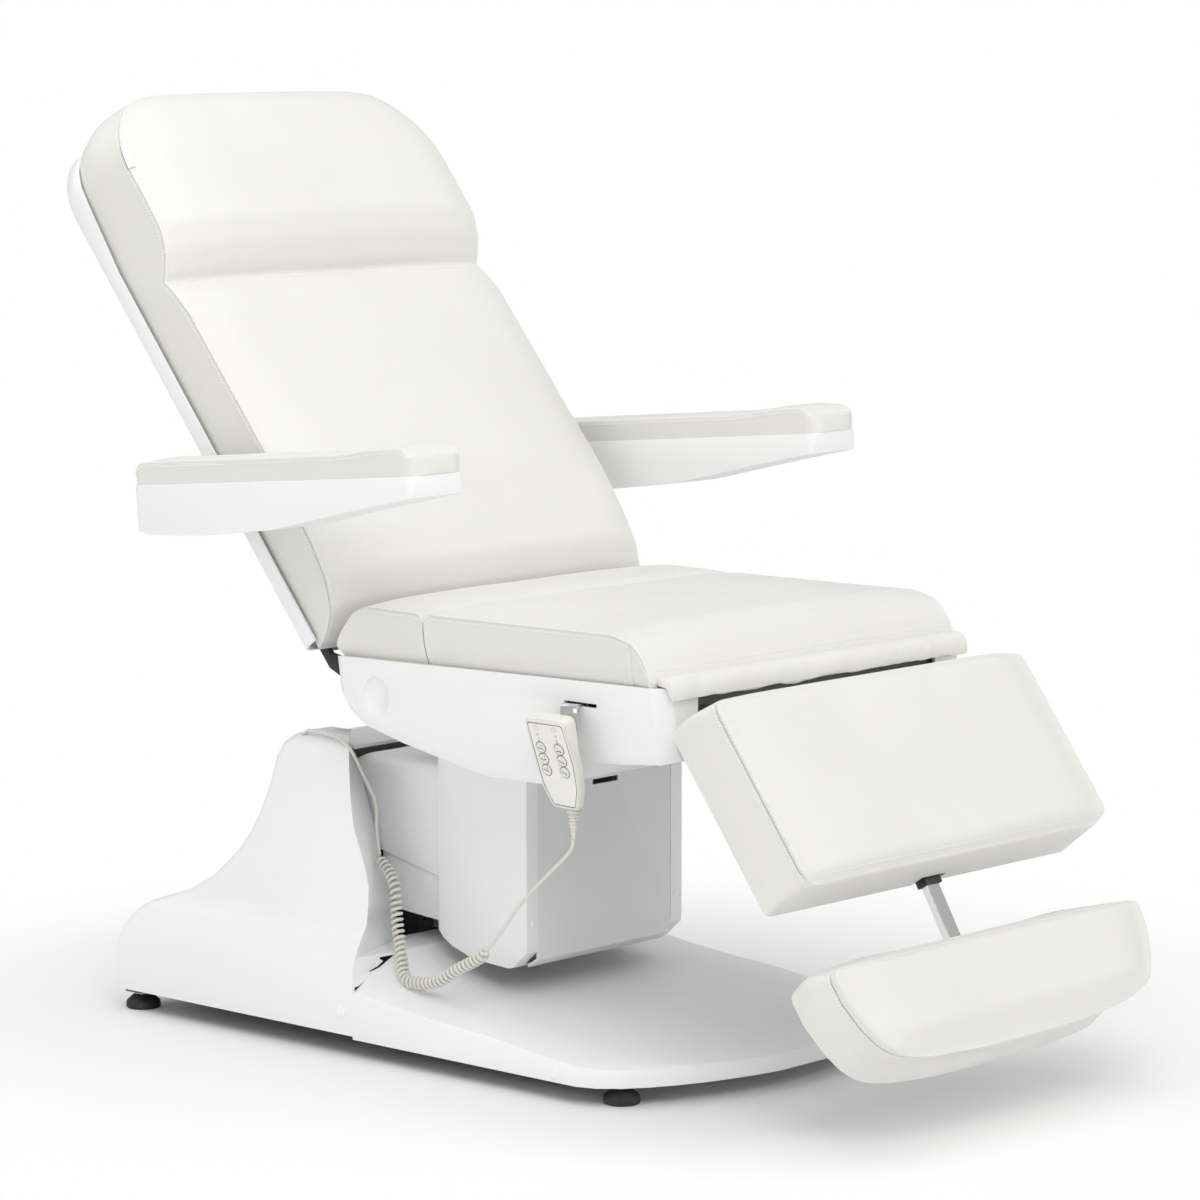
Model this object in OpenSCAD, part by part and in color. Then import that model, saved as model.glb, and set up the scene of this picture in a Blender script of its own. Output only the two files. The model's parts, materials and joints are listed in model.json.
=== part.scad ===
// Electric treatment and pedicure chair: base, parallel-arm lift, seat, backrest, leg rest,
// pull-out footrest, swing-up armrests and a corded handset. Millimetres, +Z up.
// X runs from the rear of the base to the foot end, Y to the sitter's left, Z = 0 is the floor.

/* [Base] */
// Length of the base covers, rear to front
base_len = 987; // [960:1:1020]
// Width of the base covers
base_w = 580; // [560:1:620]
// Distance from the rear of the base to the joint between its two covers
base_joint = 457; // [450:1:462]
// Height of the lift tower above the floor
tower_h = 402; // [396:1:408]
// Wall thickness of the plastic covers
cover_t = 4; // [3:0.5:5]
// Diameter of the levelling feet's rubber pads
foot_d = 48; // [40:1:56]
// Height of the levelling feet's rubber pads
foot_h = 18; // [14:1:20]
// Diameter of the levelling studs
stud_d = 12; // [10:1:16]

/* [Lift] */
// Length of the lift arms, pivot to pivot
arm_len = 262; // [252:1:266]
// Slope of the lift arms at the lowest position, degrees
arm_drop = 12.6; // [11:0.1:14]
// Distance between the upper and lower arm pivots
arm_gap = 95; // [90:1:100]
// Height of the upper arm pivot above the floor
lift_z = 333; // [330:1:336]
// Distance of the arm pivots from the rear of the base
lift_x = 345; // [342:1:348]
// Diameter of the lift pivot shafts
shaft_d = 20; // [16:1:24]
// Width of the motor box under the seat
box_w = 304; // [300:1:306]
// Depth of the motor box, rear to front
box_d = 159; // [155:1:165]

/* [Seat] */
// Width of the upholstery
pad_w = 600; // [580:1:620]
// Height of the seat shell's rim at the lowest position
rim_z = 529; // [526:1:540]
// Length of the seat, rear edge to front edge
seat_len = 541; // [530:1:552]
// Length of the narrow cushion behind the main one
rear_pad_len = 154; // [140:1:170]
// Thickness of the seat cushions at their seam
seat_pad_t = 66; // [58:1:72]
// Crown of the seat cushions above their seam
seat_crown = 8; // [4:1:14]

/* [Backrest] */
// Slope of the backrest above level, degrees
back_angle = 51.1; // [48:0.1:54]
// Length of the backrest cushion
back_len = 822; // [790:1:860]
// Thickness of the backrest cushion at its seam
back_pad_t = 85; // [75:1:92]
// Thickness of the head section at its seam
head_pad_t = 112; // [105:1:120]
// Length of the head section, top edge to crease
head_len = 284; // [260:1:300]
// Radius of the backrest's top corners
head_r = 130; // [115:1:150]

/* [Armrests] */
// Length of the armrests
rest_len = 512; // [490:1:530]
// Width of the armrests
rest_w = 95; // [85:1:100]
// Slope of the armrests, front end up, degrees
rest_angle = 5.2; // [3:0.1:8]
// Distance from the chair's centre to the armrests' inner side
rest_y = 336; // [334:1:345]
// Diameter of the armrest pivot pins
rest_pin_d = 16; // [12:1:20]

/* [Leg rest] */
// Slope of the leg rest below level, degrees
leg_angle = 53.7; // [52:0.1:56]
// Length of the leg cushion
leg_len = 256; // [245:1:262]
// Thickness of the leg cushion at its seam
leg_pad_t = 80; // [70:1:86]
// Width of the footrest's flat bar
bar_w = 24; // [22:1:26]
// Length of the footrest from its top edge down
foot_len = 139; // [132:1:146]
// Thickness of the footrest cushion at its seam
foot_pad_t = 70; // [64:1:74]

/* [Handset] */
// Length of the handset
hand_len = 128; // [122:1:134]
// Width of the handset
hand_w = 72; // [68:1:75]
// Thickness of the handset
hand_t = 22; // [20:1:25]
// Diameter of the handset's buttons
button_d = 14; // [12:0.5:14.5]
// Diameter of the handset cord's wire
wire_d = 4.6; // [4:0.1:5]
// Outer diameter of the curly part of the cord
curl_d = 17; // [15:0.5:19]

/* [Hidden] */
$fn = 48;

// Running clearance of a shaft in its bore, on the radius
run_gap = 0.06;
// Gap left between a piece and what it rests in or moves beside
seat_gap = 0.3;
// Height of the covers' lower edge above the floor, and of the base frame's rails
skirt_z = 24;
rail_z = 24;
rail_h = 20;
rail_w = 40;
rail_y = 225;
// Centres of the levelling feet
rear_foot = [24, base_w / 2 - 26];
front_foot = [base_len - 103, base_w / 2 - 50];

// ---- Lift geometry at rest: lower and upper arm pivots on the base, then on the carriage
arm_up = [lift_x, lift_z];
arm_low = arm_up - [0, arm_gap];
arm_run = arm_len * [cos(arm_drop), -sin(arm_drop)];
car_up = arm_up + arm_run;
car_low = arm_low + arm_run;
shaft_r = shaft_d / 2;
slot_w = 150;
upper_cover_w = slot_w - 4;
lower_cover_w = upper_cover_w - 4.5;
arm_wall = 3;
post_y = 60;
post_t = 8;
post_r = 16;
plate_t = 8;
upper_plate_y = 108;
lower_plate_y = 94;
car_plate_y = 120;
crank_len = 80;
crank_pin_r = 7;
// The crank stands square to the lift motor half way through the lift's travel
lift_travel = 62.6;
crank_dir = -90 - lift_travel / 2;
crank_pin = arm_low + crank_len * [cos(crank_dir), sin(crank_dir)];
// Height a push rod runs at under its pivot, for a pin that swings by the travel at the distance r
function rod_drop(r, travel) = r * (1 + cos(travel / 2)) / 2;
lift_rod_z = arm_low[1] - rod_drop(crank_len, lift_travel);
lift_anchor = [lift_x - 195, lift_rod_z];
// Slack of a yoke's slot at each side of its pin, which the opened linkages need
eye_slack = 1.5;

// ---- Carriage, seat and what hangs on the seat
box_x = car_up[0] - 121;
box_front = box_x + box_d;
box_low = 118;
box_high = rim_z - 69;
seat_x = car_up[0] - 156.7;
seat_front = seat_x + seat_len;
seat_rail_y = 225;
seat_rail_h = 24;
seat_rail_top = rim_z - 5;
seat_rail_low = seat_rail_top - seat_rail_h;
shell_w = pad_w / 2;
back_x = seat_x + 9;
back_z = rim_z - 29;
leg_x = seat_front + 26;
leg_z = rim_z - 29;
lug_len = 60;
hinge_pin_r = 8;
leg_pin_r = 5;
motor_r = 18;
rod_r = 9;

// Direction of each lug at rest, and its pin: half way through its travel it stands square
back_travel = [-12, 51];
leg_travel = [-3, 53.7];
back_lug_dir = -90 - (back_travel[0] + back_travel[1]) / 2;
leg_lug_dir = -90 - (leg_travel[0] + leg_travel[1]) / 2;
back_pin = [back_x, back_z] + lug_len * [cos(back_lug_dir), sin(back_lug_dir)];
leg_pin = [leg_x, leg_z] + lug_len * [cos(leg_lug_dir), sin(leg_lug_dir)];
back_rod_z = back_z - rod_drop(lug_len, back_travel[1] - back_travel[0]);
leg_rod_z = leg_z - rod_drop(lug_len, leg_travel[1] - leg_travel[0]);
back_anchor = [seat_x + 286, back_rod_z];
leg_anchor = [seat_x + 191, leg_rod_z];
back_motor_y = -50;
leg_motor_y = 50;

// ---- Backrest, in its own lying frame: +X towards the seat, +Z out of the cushion's face
back_gap = 56;
back_base = -17;
back_shell_t = 19;
back_shell_gap = 10;

// ---- Footrest, in the leg rest's frame
bar_t = 10;
bar_z = -13;
foot_out = 359;
foot_tilt = 6.3;
foot_back = -37;

// ---- Armrests, from the pivot in the backrest's frame
rest_pivot = [-297, -26];
rest_behind = 44;
rest_top = 32;

// ---- Handset
hand_at = [850, -316, 436];
hand_tilt = 20;

// Turns a point of a lying frame by the slope that the frame has
function tilt(p, a) = [p[0] * cos(a) + p[2] * sin(a), p[1], -p[0] * sin(a) + p[2] * cos(a)];
function flatten(l) = [for (a = l) each a];
function mean(l) = [for (p = l) 1 / len(l)] * l;
function arc(c, r, a0, a1, n = 8) =
    [for (i = [0:n]) c + r * [cos(a0 + (a1 - a0) * i / n), sin(a0 + (a1 - a0) * i / n)]];
function unit(v) = v / norm(v);
// Eases from 0 to 1 over the unit interval
function ease(t) = (1 - cos(180 * min(1, max(0, t)))) / 2;
// A point of the Catmull-Rom curve through the points p, at t from 0 to len(p) - 1
function curve(p, t) =
    let (k = min(len(p) - 2, floor(t)), u = t - k,
        b = p[k], c = p[k + 1],
        a = k > 0 ? p[k - 1] : 2 * b - c,
        d = k < len(p) - 2 ? p[k + 2] : 2 * c - b)
    (2 * b + (c - a) * u + (2 * a - 5 * b + 4 * c - d) * u * u
        + (3 * b - a - 3 * c + d) * u * u * u) / 2;

// A closed solid through rings of points, each ring turning left round the way they advance.
// Its ends are fans round their middles, less the corners that are listed as ears of their own
module loft(rings, ears = []) {
    n = len(rings[0]);
    rim = [for (i = [0:n - 1]) if (len([for (e = ears) if (e == i) e]) == 0) i];
    k = len(rim);
    m = len(rings);
    last = (m - 1) * n;
    polyhedron(
        points = concat(flatten(rings), [mean(rings[0]), mean(rings[m - 1])]),
        faces = concat(
            [for (j = [0:m - 2], i = [0:n - 1]) [j * n + i, (j + 1) * n + (i + 1) % n, j * n + (i + 1) % n]],
            [for (j = [0:m - 2], i = [0:n - 1]) [j * n + i, (j + 1) * n + i, (j + 1) * n + (i + 1) % n]],
            [for (i = [0:k - 1]) [m * n, rim[i], rim[(i + 1) % k]]],
            [for (e = ears) [(e + n - 1) % n, e, (e + 1) % n]],
            [for (i = [0:k - 1]) [m * n + 1, last + rim[(i + 1) % k], last + rim[i]]],
            [for (e = ears) [last + (e + 1) % n, last + e, last + (e + n - 1) % n]]),
        convexity = 6);
}
// Extrudes an outline drawn in X and Z sideways, between two places on Y
module across(y0, y1) translate([0, y1, 0]) rotate([90, 0, 0]) linear_extrude(y1 - y0) children();
module both_sides() {
    children();
    mirror([0, 1, 0]) children();
}
// A round rod along Y at a point of the side view
module rod(p, r, y0, y1) across(y0, y1) translate(p) circle(r);
// A straight link with round ends, in the side view
module link(p, q, r) {
    a = atan2(q[1] - p[1], q[0] - p[0]);
    polygon(concat(arc(q, r, a - 90, a + 90, 12), arc(p, r, a + 90, a + 270, 12)));
}

// ---- Section of a cushion: flat base at z0, sides drawn in, seams at height h and a crowned face
crown_steps = 10;
// The face can puff out over the seam, and the base can be wider than the face where corners differ
function pad_ring(x, w, z0, h, crown, power = 4, drawn = 4, back = 0, swell = 0, base = 0, puff = 0) =
    let (side = w - drawn * 0.5 + max(swell / 2, base), low = w - 2 * drawn + base,
        middle = z0 + (h - z0) * 0.5,
        brow = w * 0.988 + puff * 0.45, lift = max(puff, crown * (1 - pow(0.988, power))))
    concat([[x + back, low, z0], [x + back / 2 - swell, side, middle], [x, w, h], [x, brow, h + lift]],
        [for (k = [1:crown_steps - 1]) let (t = cos(180 * k / crown_steps))
            [x, w * t, h + max(crown * (1 - pow(abs(t), power)), min(crown, lift * 1.1))]],
        [[x, -brow, h + lift], [x, -w, h], [x + back / 2 - swell, -side, middle], [x + back, -low, z0]]);
// Half width near an end whose corners have radius r, at the distance e from that end
function corner_w(w, r, e) = e >= r ? w : w - r + sqrt(r * r - (r - e) * (r - e));
// Share of the crown at the distance e from an end, full after the length l
function rise(e, l) = ease(e / l);

back_end = -back_gap;
back_top = back_end - back_len;
// Distances up the backrest, from its lower edge, at which its section is drawn
back_stations = concat([0, 8, 25, 60, 110, 180, 300, 420],
    [for (d = [60, 30, 12, 0, -12, -30, -60]) back_len - head_len - d],
    [for (d = [130, 95, 66, 44, 26, 12, 4, 0]) back_len - d]);
function back_seam(u) = let (head = back_len - head_len) lookup(u, [[0, 14], [8, 35], [25, 56], [60, 72],
    [110, 80], [180, back_pad_t], [head - 60, back_pad_t - 2], [head - 30, back_pad_t - 6],
    [head, back_pad_t - 14], [head + 30, head_pad_t - 14], [head + 60, head_pad_t - 2],
    [head + 110, head_pad_t], [back_len - 12, head_pad_t], [back_len, head_pad_t - 8]]);
function back_crown(u) = let (head = back_len - head_len) lookup(u, [[0, 3], [25, 18], [60, 28], [180, 32],
    [head - 60, 26], [head - 30, 20], [head, 9], [head + 30, 20], [head + 60, 26],
    [back_len - 70, 28], [back_len - 26, 20], [back_len, 4]]);
back_rings = [for (u = [for (i = [len(back_stations) - 1:-1:0]) back_stations[i]])
    pad_ring(back_end - u, corner_w(shell_w, head_r, back_len - u), back_base,
        back_base + back_seam(u), back_crown(u), 6, 3, 13 * (1 - rise(back_len - u, 44)),
        11 * (1 - rise(back_len - u, 130)),
        corner_w(shell_w, head_r - 18, back_len - u) - corner_w(shell_w, head_r, back_len - u))];

// Half width of the footrest's face down its length, and the rings of its cushion
function foot_w(u) = shell_w + lookup(u / foot_len, [[0, -96], [0.02, -38], [0.06, -4], [0.13, 0], [0.34, -3],
    [0.6, -18], [0.76, -34], [0.85, -50], [0.91, -70], [0.955, -104], [0.985, -160], [1, -212]]);
foot_stations = [for (t = [0, 0.02, 0.06, 0.13, 0.34, 0.6, 0.76, 0.85, 0.91, 0.955, 0.985, 1]) t * foot_len];
foot_rings = [for (u = foot_stations) pad_ring(u, foot_w(u), foot_back,
    foot_back + foot_pad_t - 6 * (1 - rise(u, 12)),
    26 * rise(u + 10, 30) * rise(foot_len - u, 44), 12, 1, -3 + 11 * u / foot_len, 8, 0,
    13 * rise(u + 10, 24) * rise(foot_len - u, 30))];

// Where a point of the footrest's frame lies in the side view
function foot_place(p) = [leg_x, 0, leg_z]
    + tilt([foot_out, 0, foot_rise] + tilt(p, foot_tilt), leg_angle);
foot_rise = 12;
rear_most = min([for (r = back_rings, p = r) back_x + tilt(p, back_angle)[0]]);
foot_most = max([for (r = foot_rings, p = r) foot_place(p)[0]]);
// The origin lies under the middle of the chair's length
origin_x = (rear_most + foot_most) / 2;

module chair() translate([-origin_x, 0, 0]) children();
module on_back() chair() translate([back_x, 0, back_z]) rotate([0, back_angle, 0]) children();
module on_leg() chair() translate([leg_x, 0, leg_z]) rotate([0, leg_angle, 0]) children();
module on_foot() on_leg() translate([foot_out, 0, foot_rise]) rotate([0, foot_tilt, 0]) children();
// The sitter's left armrest; the right one is its mirror image
module on_rest() on_back() translate([rest_pivot[0], rest_y, rest_pivot[1]])
    rotate([0, -back_angle - rest_angle, 0]) children();
module on_handset() chair() translate(hand_at) rotate([hand_tilt, 0, 0]) children();

// ==== Base ====
module base_frame() color("dimgray") chair() {
    both_sides() translate([18, rail_y - rail_w / 2, rail_z]) cube([base_len - 108, rail_w, rail_h]);
    for (x = [12, 250, 335, 540, 660])
        translate([x, -rail_y + rail_w / 2, rail_z]) cube([30, 2 * rail_y - rail_w, rail_h]);
    both_sides() {
        for (x = [12, base_joint + 18])
            translate([x, rail_y, rail_z]) cube([30, base_w / 2 - cover_t - rail_y - 0.2, rail_h]);
        translate([base_len - 119, rail_y, rail_z]) cube([26, 24, rail_h]);
        // Side plate of the lift tower
        across(post_y, post_y + post_t) difference() {
            polygon(concat([[250, rail_z + rail_h], [lift_x + post_r, rail_z + rail_h]],
                arc(arm_up, post_r, 0, 180, 16), [[lift_x - 13, lift_z - 8], [lift_x - 13, arm_low[1] + 32],
                [lift_x - post_r, arm_low[1] - 60]]));
            translate(arm_up) circle(shaft_r);
            translate(arm_low) circle(shaft_r);
        }
    }
    // Ears for the lift motor's anchor pin, and the rest under its front end
    both_sides() across(20, 28) difference() {
        polygon([[lift_anchor[0] - 25, rail_z + rail_h], [lift_anchor[0] + 25, rail_z + rail_h],
            lift_anchor + [14, 12], lift_anchor + [-14, 12]]);
        translate(lift_anchor) circle(crank_pin_r);
    }
    translate([255, -14, rail_z + rail_h]) cube([12, 28, lift_rod_z - motor_r - rail_z - rail_h]);
    translate([42, -28, rail_z]) cube([208, 56, rail_h]);
}
module at_feet() {
    both_sides() {
        translate([rear_foot[0], rear_foot[1], 0]) children();
        translate([front_foot[0], front_foot[1], 0]) children();
    }
}
module foot_pads() color("#1c1c1c") chair() at_feet() rotate_extrude() polygon([[0, 0],
    [foot_d / 2 - 2, 0], [foot_d / 2, 3], [foot_d / 2 - 1, foot_h * 0.55], [foot_d * 0.3, foot_h],
        [0, foot_h]]);
module foot_studs() color("silver") chair() at_feet() {
    translate([0, 0, foot_h]) cylinder(h = rail_z - foot_h, r = stud_d / 2);
    translate([0, 0, rail_z - 5]) cylinder(h = 5, r = stud_d * 0.9, $fn = 6);
}

// Outline of the rear cover at rising heights: height, rear edge, half width, outer front edge,
// half width and place of the inner front edge
base_half = base_w / 2;
foot_step = 129;
rear_x = -4;
function tower_z(share) = foot_step + share * (tower_h - foot_step);
tower_rows = [
    [skirt_z + 4, rear_x, base_half, base_joint, base_half - 10, base_joint, 8],
    [88, rear_x, base_half, base_joint, base_half - 10, base_joint, 8],
    [101, -2, base_half - 2, base_joint - 3, base_half - 26, base_joint, 10],
    [114, 2, base_half - 5, base_joint - 5, base_half - 56, base_joint, 13],
    [foot_step, 10, base_half - 12, base_joint - 7, base_half - 84, base_joint, 18],
    [foot_step + 2, 11, base_half - 13, base_joint - 7, slot_w, base_joint - 53, 18],
    [tower_z(0.04), 20, base_half - 17, base_joint - 7, slot_w, base_joint - 56, 20],
    [tower_z(0.075), 36, base_half - 22, base_joint - 7, slot_w, base_joint - 59, 20],
    [tower_z(0.1), 55, base_half - 26, base_joint - 7, slot_w, base_joint - 60, 20],
    [tower_z(0.15), 95, base_half - 34, base_joint - 7, slot_w, base_joint - 64, 20],
    [tower_z(0.245), 143, base_half - 37, base_joint - 7, slot_w, base_joint - 73, 20],
    [tower_z(0.33), 170, base_half - 39, base_joint - 8, slot_w, base_joint - 80, 20],
    [tower_z(0.405), 192, base_half - 41, base_joint - 15, slot_w, base_joint - 86, 20],
    [tower_z(0.5), 212, base_half - 43, base_joint - 27, slot_w, base_joint - 95, 20],
    [tower_z(0.6), 228, base_half - 45, base_joint - 41, slot_w, base_joint - 103, 20],
    [tower_z(0.745), 243, base_half - 49, base_joint - 51, slot_w, base_joint - 118, 20],
    [tower_z(0.88), 250, base_half - 54, base_joint - 58, slot_w, base_joint - 140, 22],
    [tower_z(0.945), 254, base_half - 62, base_joint - 66, slot_w, base_joint - 148, 24],
    [tower_z(0.985), 264, base_half - 74, base_joint - 79, slot_w, base_joint - 146, 24],
    [tower_h, 278, base_half - 88, base_joint - 92, slot_w, base_joint - 140, 24]];
function tower_ring(row, wall) =
    let (low = row[0] <= foot_step, through = wall > 0 ? 1 : 0,
        z = row[0] - (row[0] > 88 ? wall : 0), rear = row[1] + wall, w = row[2] - wall,
        outer = row[3] - (low && wall > 0 ? -through : wall),
        inner = row[5] - (low && wall > 0 ? -through : wall),
        r = row[6] - wall)
    concat([[inner, -row[4] + wall / 2, z], [inner, row[4] - wall / 2, z], [outer, w, z]],
        [for (p = arc([rear + r, w - r], r, 90, 180, 5)) [p[0], p[1], z]],
        [for (p = arc([rear + r, r - w], r, 180, 270, 5)) [p[0], p[1], z]],
        [[outer, -w, z]]);
slot_rear = 249;
slot_open = lift_x - 42;
slot_floor = 112;
slot_cut = slot_w + 0.02;
module rear_cover() color("whitesmoke") chair() {
    difference() {
        loft([for (row = tower_rows) tower_ring(row, 0)], [2, 15]);
        difference() {
            loft(concat([[for (p = tower_ring(tower_rows[0], cover_t)) [p[0], p[1], skirt_z - 1]]],
                [for (row = tower_rows) tower_ring(row, cover_t)]), [2, 15]);
            both_sides() translate([slot_rear, slot_w, foot_step - cover_t])
                cube([base_joint - slot_rear, cover_t, tower_h]);
        }
        across(-slot_cut, slot_cut) polygon([[slot_open, slot_floor], [base_joint - 59, slot_floor],
            [base_joint - 59, foot_step + 2], [base_joint + 1, foot_step + 2], [base_joint + 1, tower_h + 10],
            [slot_rear + 7, tower_h + 10], [slot_rear + 7, tower_h - 14], [slot_open, tower_h - 14]]);
        translate([rear_x - 1, inlet_y - inlet_w / 2, inlet_z - inlet_h / 2])
            cube([cover_t + 2, inlet_w, inlet_h]);
        translate([gland_x, -gland_y, tower_h - 30]) cylinder(h = 40, r = gland_r + 0.05);
    }
    // Hood between the two cheeks, over the arms' pivot
    across(-slot_w - 0.5, slot_w + 0.5) polygon([[slot_rear, tower_h - 26], [slot_rear + 3, tower_h - 16],
        [slot_rear + 14, tower_h - 10], [slot_rear + 34, tower_h - 9], [lift_x - 22.5, tower_h - 21.5],
        [lift_x - 22.5, tower_h - 26], [slot_rear + 34, tower_h - 14], [slot_rear + 14, tower_h - 15],
        [slot_rear + 6, tower_h - 26]]);
}

// Half width, shoulder height and deck height of the front cover along its length
nose = 136;
function front_w(x) =
    let (t = max(0, (x - base_len + nose) / nose)) base_half * pow(1 - pow(min(t, 1), 1.8), 0.6);
function shoulder_z(x) =
    lookup(x - base_joint, [[0, 87], [110, 73.5], [240, 65], [337, 54], [402, 48], [530, 42]]);
function deck_z(x) = lookup(x - base_joint, [[0, foot_step], [23, 116], [53, 103], [83, 94], [143, 84],
    [243, 76], [343, 66], [443, 54], [530, 46]]);
function deck_w(x) =
    front_w(x) * (1 - lookup(x - base_joint, [[0, 84], [143, 72], [393, 52], [530, 20]]) / base_half);
function front_ring(x, place, wall) =
    let (w = max(front_w(x) - wall, 12), s = shoulder_z(x) - wall, d = deck_z(x) - wall,
        k = deck_w(x) - wall / 2)
    [[place, w, skirt_z - (wall > 0 ? 1 : 0)], [place, w, s - 5], [place, w - 3, s],
        [place, (w + k) / 2, (s + d) / 2 + 1], [place, k, d - 1], [place, k - 12, d],
        [place, 12 - k, d], [place, -k, d - 1], [place, -(w + k) / 2, (s + d) / 2 + 1],
        [place, 3 - w, s], [place, -w, s - 5], [place, -w, skirt_z - (wall > 0 ? 1 : 0)]];
front_stations = concat([for (d = [0, 23, 53, 83, 143, 243, 343]) base_joint + d],
    [for (t = [1, 0.8, 0.62, 0.48, 0.35, 0.24, 0.15, 0.08, 0.03]) base_len - nose * t]);
module front_cover() color("whitesmoke") chair() difference() {
    loft([for (x = front_stations) front_ring(x, x, 0)]);
    loft([for (x = front_stations) front_ring(x, x == base_joint ? x - 1 : x - cover_t, cover_t)]);
}
// Round caps over the covers' screws
module cover_caps() color("white") chair() both_sides() {
    for (p = [[base_joint - 21, 58], [base_len - 172, 36]])
        translate([p[0], base_half, p[1]]) rotate([-90, 0, 0]) cylinder(h = 2, r1 = 8, r2 = 6.5);
}
module arm_shafts() color("silver") chair() {
    rod(arm_up, shaft_r, -upper_plate_y - plate_t - 3, upper_plate_y + plate_t + 3);
    rod(arm_low, shaft_r, -lower_plate_y - plate_t - 3, lower_plate_y + plate_t + 3);
    rod(lift_anchor, crank_pin_r, -32, 32);
}
module control_box() color("black") chair() translate([535, -60, rail_z + rail_h]) cube([160, 120, 24]);

inlet_y = 120;
inlet_z = 59;
inlet_w = 50;
inlet_h = 28;
module mains_inlet() color("black") chair() difference() {
    union() {
        translate([rear_x - 2, inlet_y - inlet_w / 2 - 3, inlet_z - inlet_h / 2 - 3])
            cube([2, inlet_w + 6, inlet_h + 6]);
        translate([rear_x - 1, inlet_y - inlet_w / 2 + 0.3, inlet_z - inlet_h / 2 + 0.3])
            cube([28, inlet_w - 0.6, inlet_h - 0.6]);
    }
    translate([rear_x - 3, inlet_y - 12, inlet_z - 8]) cube([24, 24, 16]);
}
gland_x = 289;
gland_y = 208;
gland_r = 5.5;
module cord_gland() color("lightgray") chair() translate([gland_x, -gland_y, tower_h]) difference() {
    rotate_extrude() polygon([[0, -20], [gland_r, -20], [gland_r, -6], [gland_r - 1.5, -4], [0, -4]]);
    translate([0, 0, -21]) cylinder(h = 22, r = wire_d / 2 + 0.7);
}

// ==== Lift ====
module lower_arm() color("dimgray") chair() {
    both_sides() across(lower_plate_y, lower_plate_y + plate_t) difference() {
        link(arm_low, car_low, 24);
        translate(arm_low) circle(shaft_r + 1);
        translate(car_low) circle(shaft_r + 1);
    }
    // Hubs on the shafts, and the tube that carries the cover and the crank
    hub(car_low, lower_plate_y + plate_t + 2, lower_plate_y + plate_t + 2);
    hub(arm_low, plate_t + 4, lower_plate_y + plate_t + 2);
    rod(arm_tube, 14, -lower_cover_w + arm_wall, lower_cover_w - arm_wall);
    both_sides() across(14, 22) difference() {
        union() {
            link(arm_low, crank_pin, 16);
            link(arm_low, arm_tube, 16);
        }
        translate(arm_low) circle(shaft_r + run_gap);
    }
    rod(crank_pin, crank_pin_r, -22, 22);
}
arm_tube = arm_low + arm_run * 0.45;
// Two hubs of a length along a shaft, or one when they meet, each ending at the distance y1
module hub(p, length, y1) both_sides() across(y1 - length, y1) translate(p) difference() {
    circle(shaft_r + 6);
    circle(shaft_r + run_gap);
}
// Side view of the arm covers at rest: the seam between them falls towards the front
seam_rear = [lift_x - 10, lift_z - 81];
seam_front = [box_x + 41, lift_z - 120];
module lower_arm_cover() color("whitesmoke") chair() difference() {
    across(-lower_cover_w, lower_cover_w)
        polygon([[lift_x + 21, seam_rear[1] - 82], [seam_front[0], seam_front[1] - 55], seam_front + [0, 14],
            [lift_x + 21, seam_rear[1] + 7]]);
    across(arm_wall - lower_cover_w, lower_cover_w - arm_wall)
        polygon([[lift_x, seam_rear[1] - 79], [seam_front[0] + 1, seam_front[1] - 52], seam_front + [1, 40],
            [lift_x, seam_rear[1] + 40]]);
}
module upper_arm() color("dimgray") chair() {
    both_sides() across(upper_plate_y, upper_plate_y + plate_t) difference() {
        link(arm_up, car_up, 22);
        translate(arm_up) circle(shaft_r + 1);
        translate(car_up) circle(shaft_r + 1);
    }
    hub(car_up, upper_plate_y + plate_t + 2, upper_plate_y + plate_t + 2);
    hub(arm_up, plate_t + 4, upper_plate_y + plate_t + 2);
    rod(arm_up + arm_run * 0.4 + [0, 8], 12, -upper_cover_w + arm_wall, upper_cover_w - arm_wall);
}
cover_top = 39;
// The cover's rear is closed down to the pivot's height only, where the tower's posts pass
module upper_cover_side(wall) polygon(concat(arc(arm_up, cover_top - wall, 90, 176, 9),
    [[lift_x - cover_top + (wall > 0 ? -1 : 8), lift_z - 22]],
    [seam_rear - [wall * 9, wall * 5], seam_front + [wall, -wall * 5],
        [seam_front[0] + wall, lift_z + cover_top - wall]]));
module upper_cover_section(wall) rotate([90, 0, 90]) translate([0, 0, lift_x - 60]) linear_extrude(300)
    polygon(concat([[upper_cover_w - wall, 150], [upper_cover_w - wall, lift_z]],
    arc([upper_cover_w - 24, lift_z + cover_top - 24], 24 - wall, 0, 90, 6),
    arc([24 - upper_cover_w, lift_z + cover_top - 24], 24 - wall, 90, 180, 6),
    [[wall - upper_cover_w, lift_z], [wall - upper_cover_w, 150]]));
module upper_arm_cover() color("whitesmoke") chair() difference() {
    intersection() {
        across(-upper_cover_w, upper_cover_w) upper_cover_side(0);
        upper_cover_section(0);
    }
    intersection() {
        across(-upper_cover_w, upper_cover_w) upper_cover_side(arm_wall);
        upper_cover_section(arm_wall);
    }
}

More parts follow.
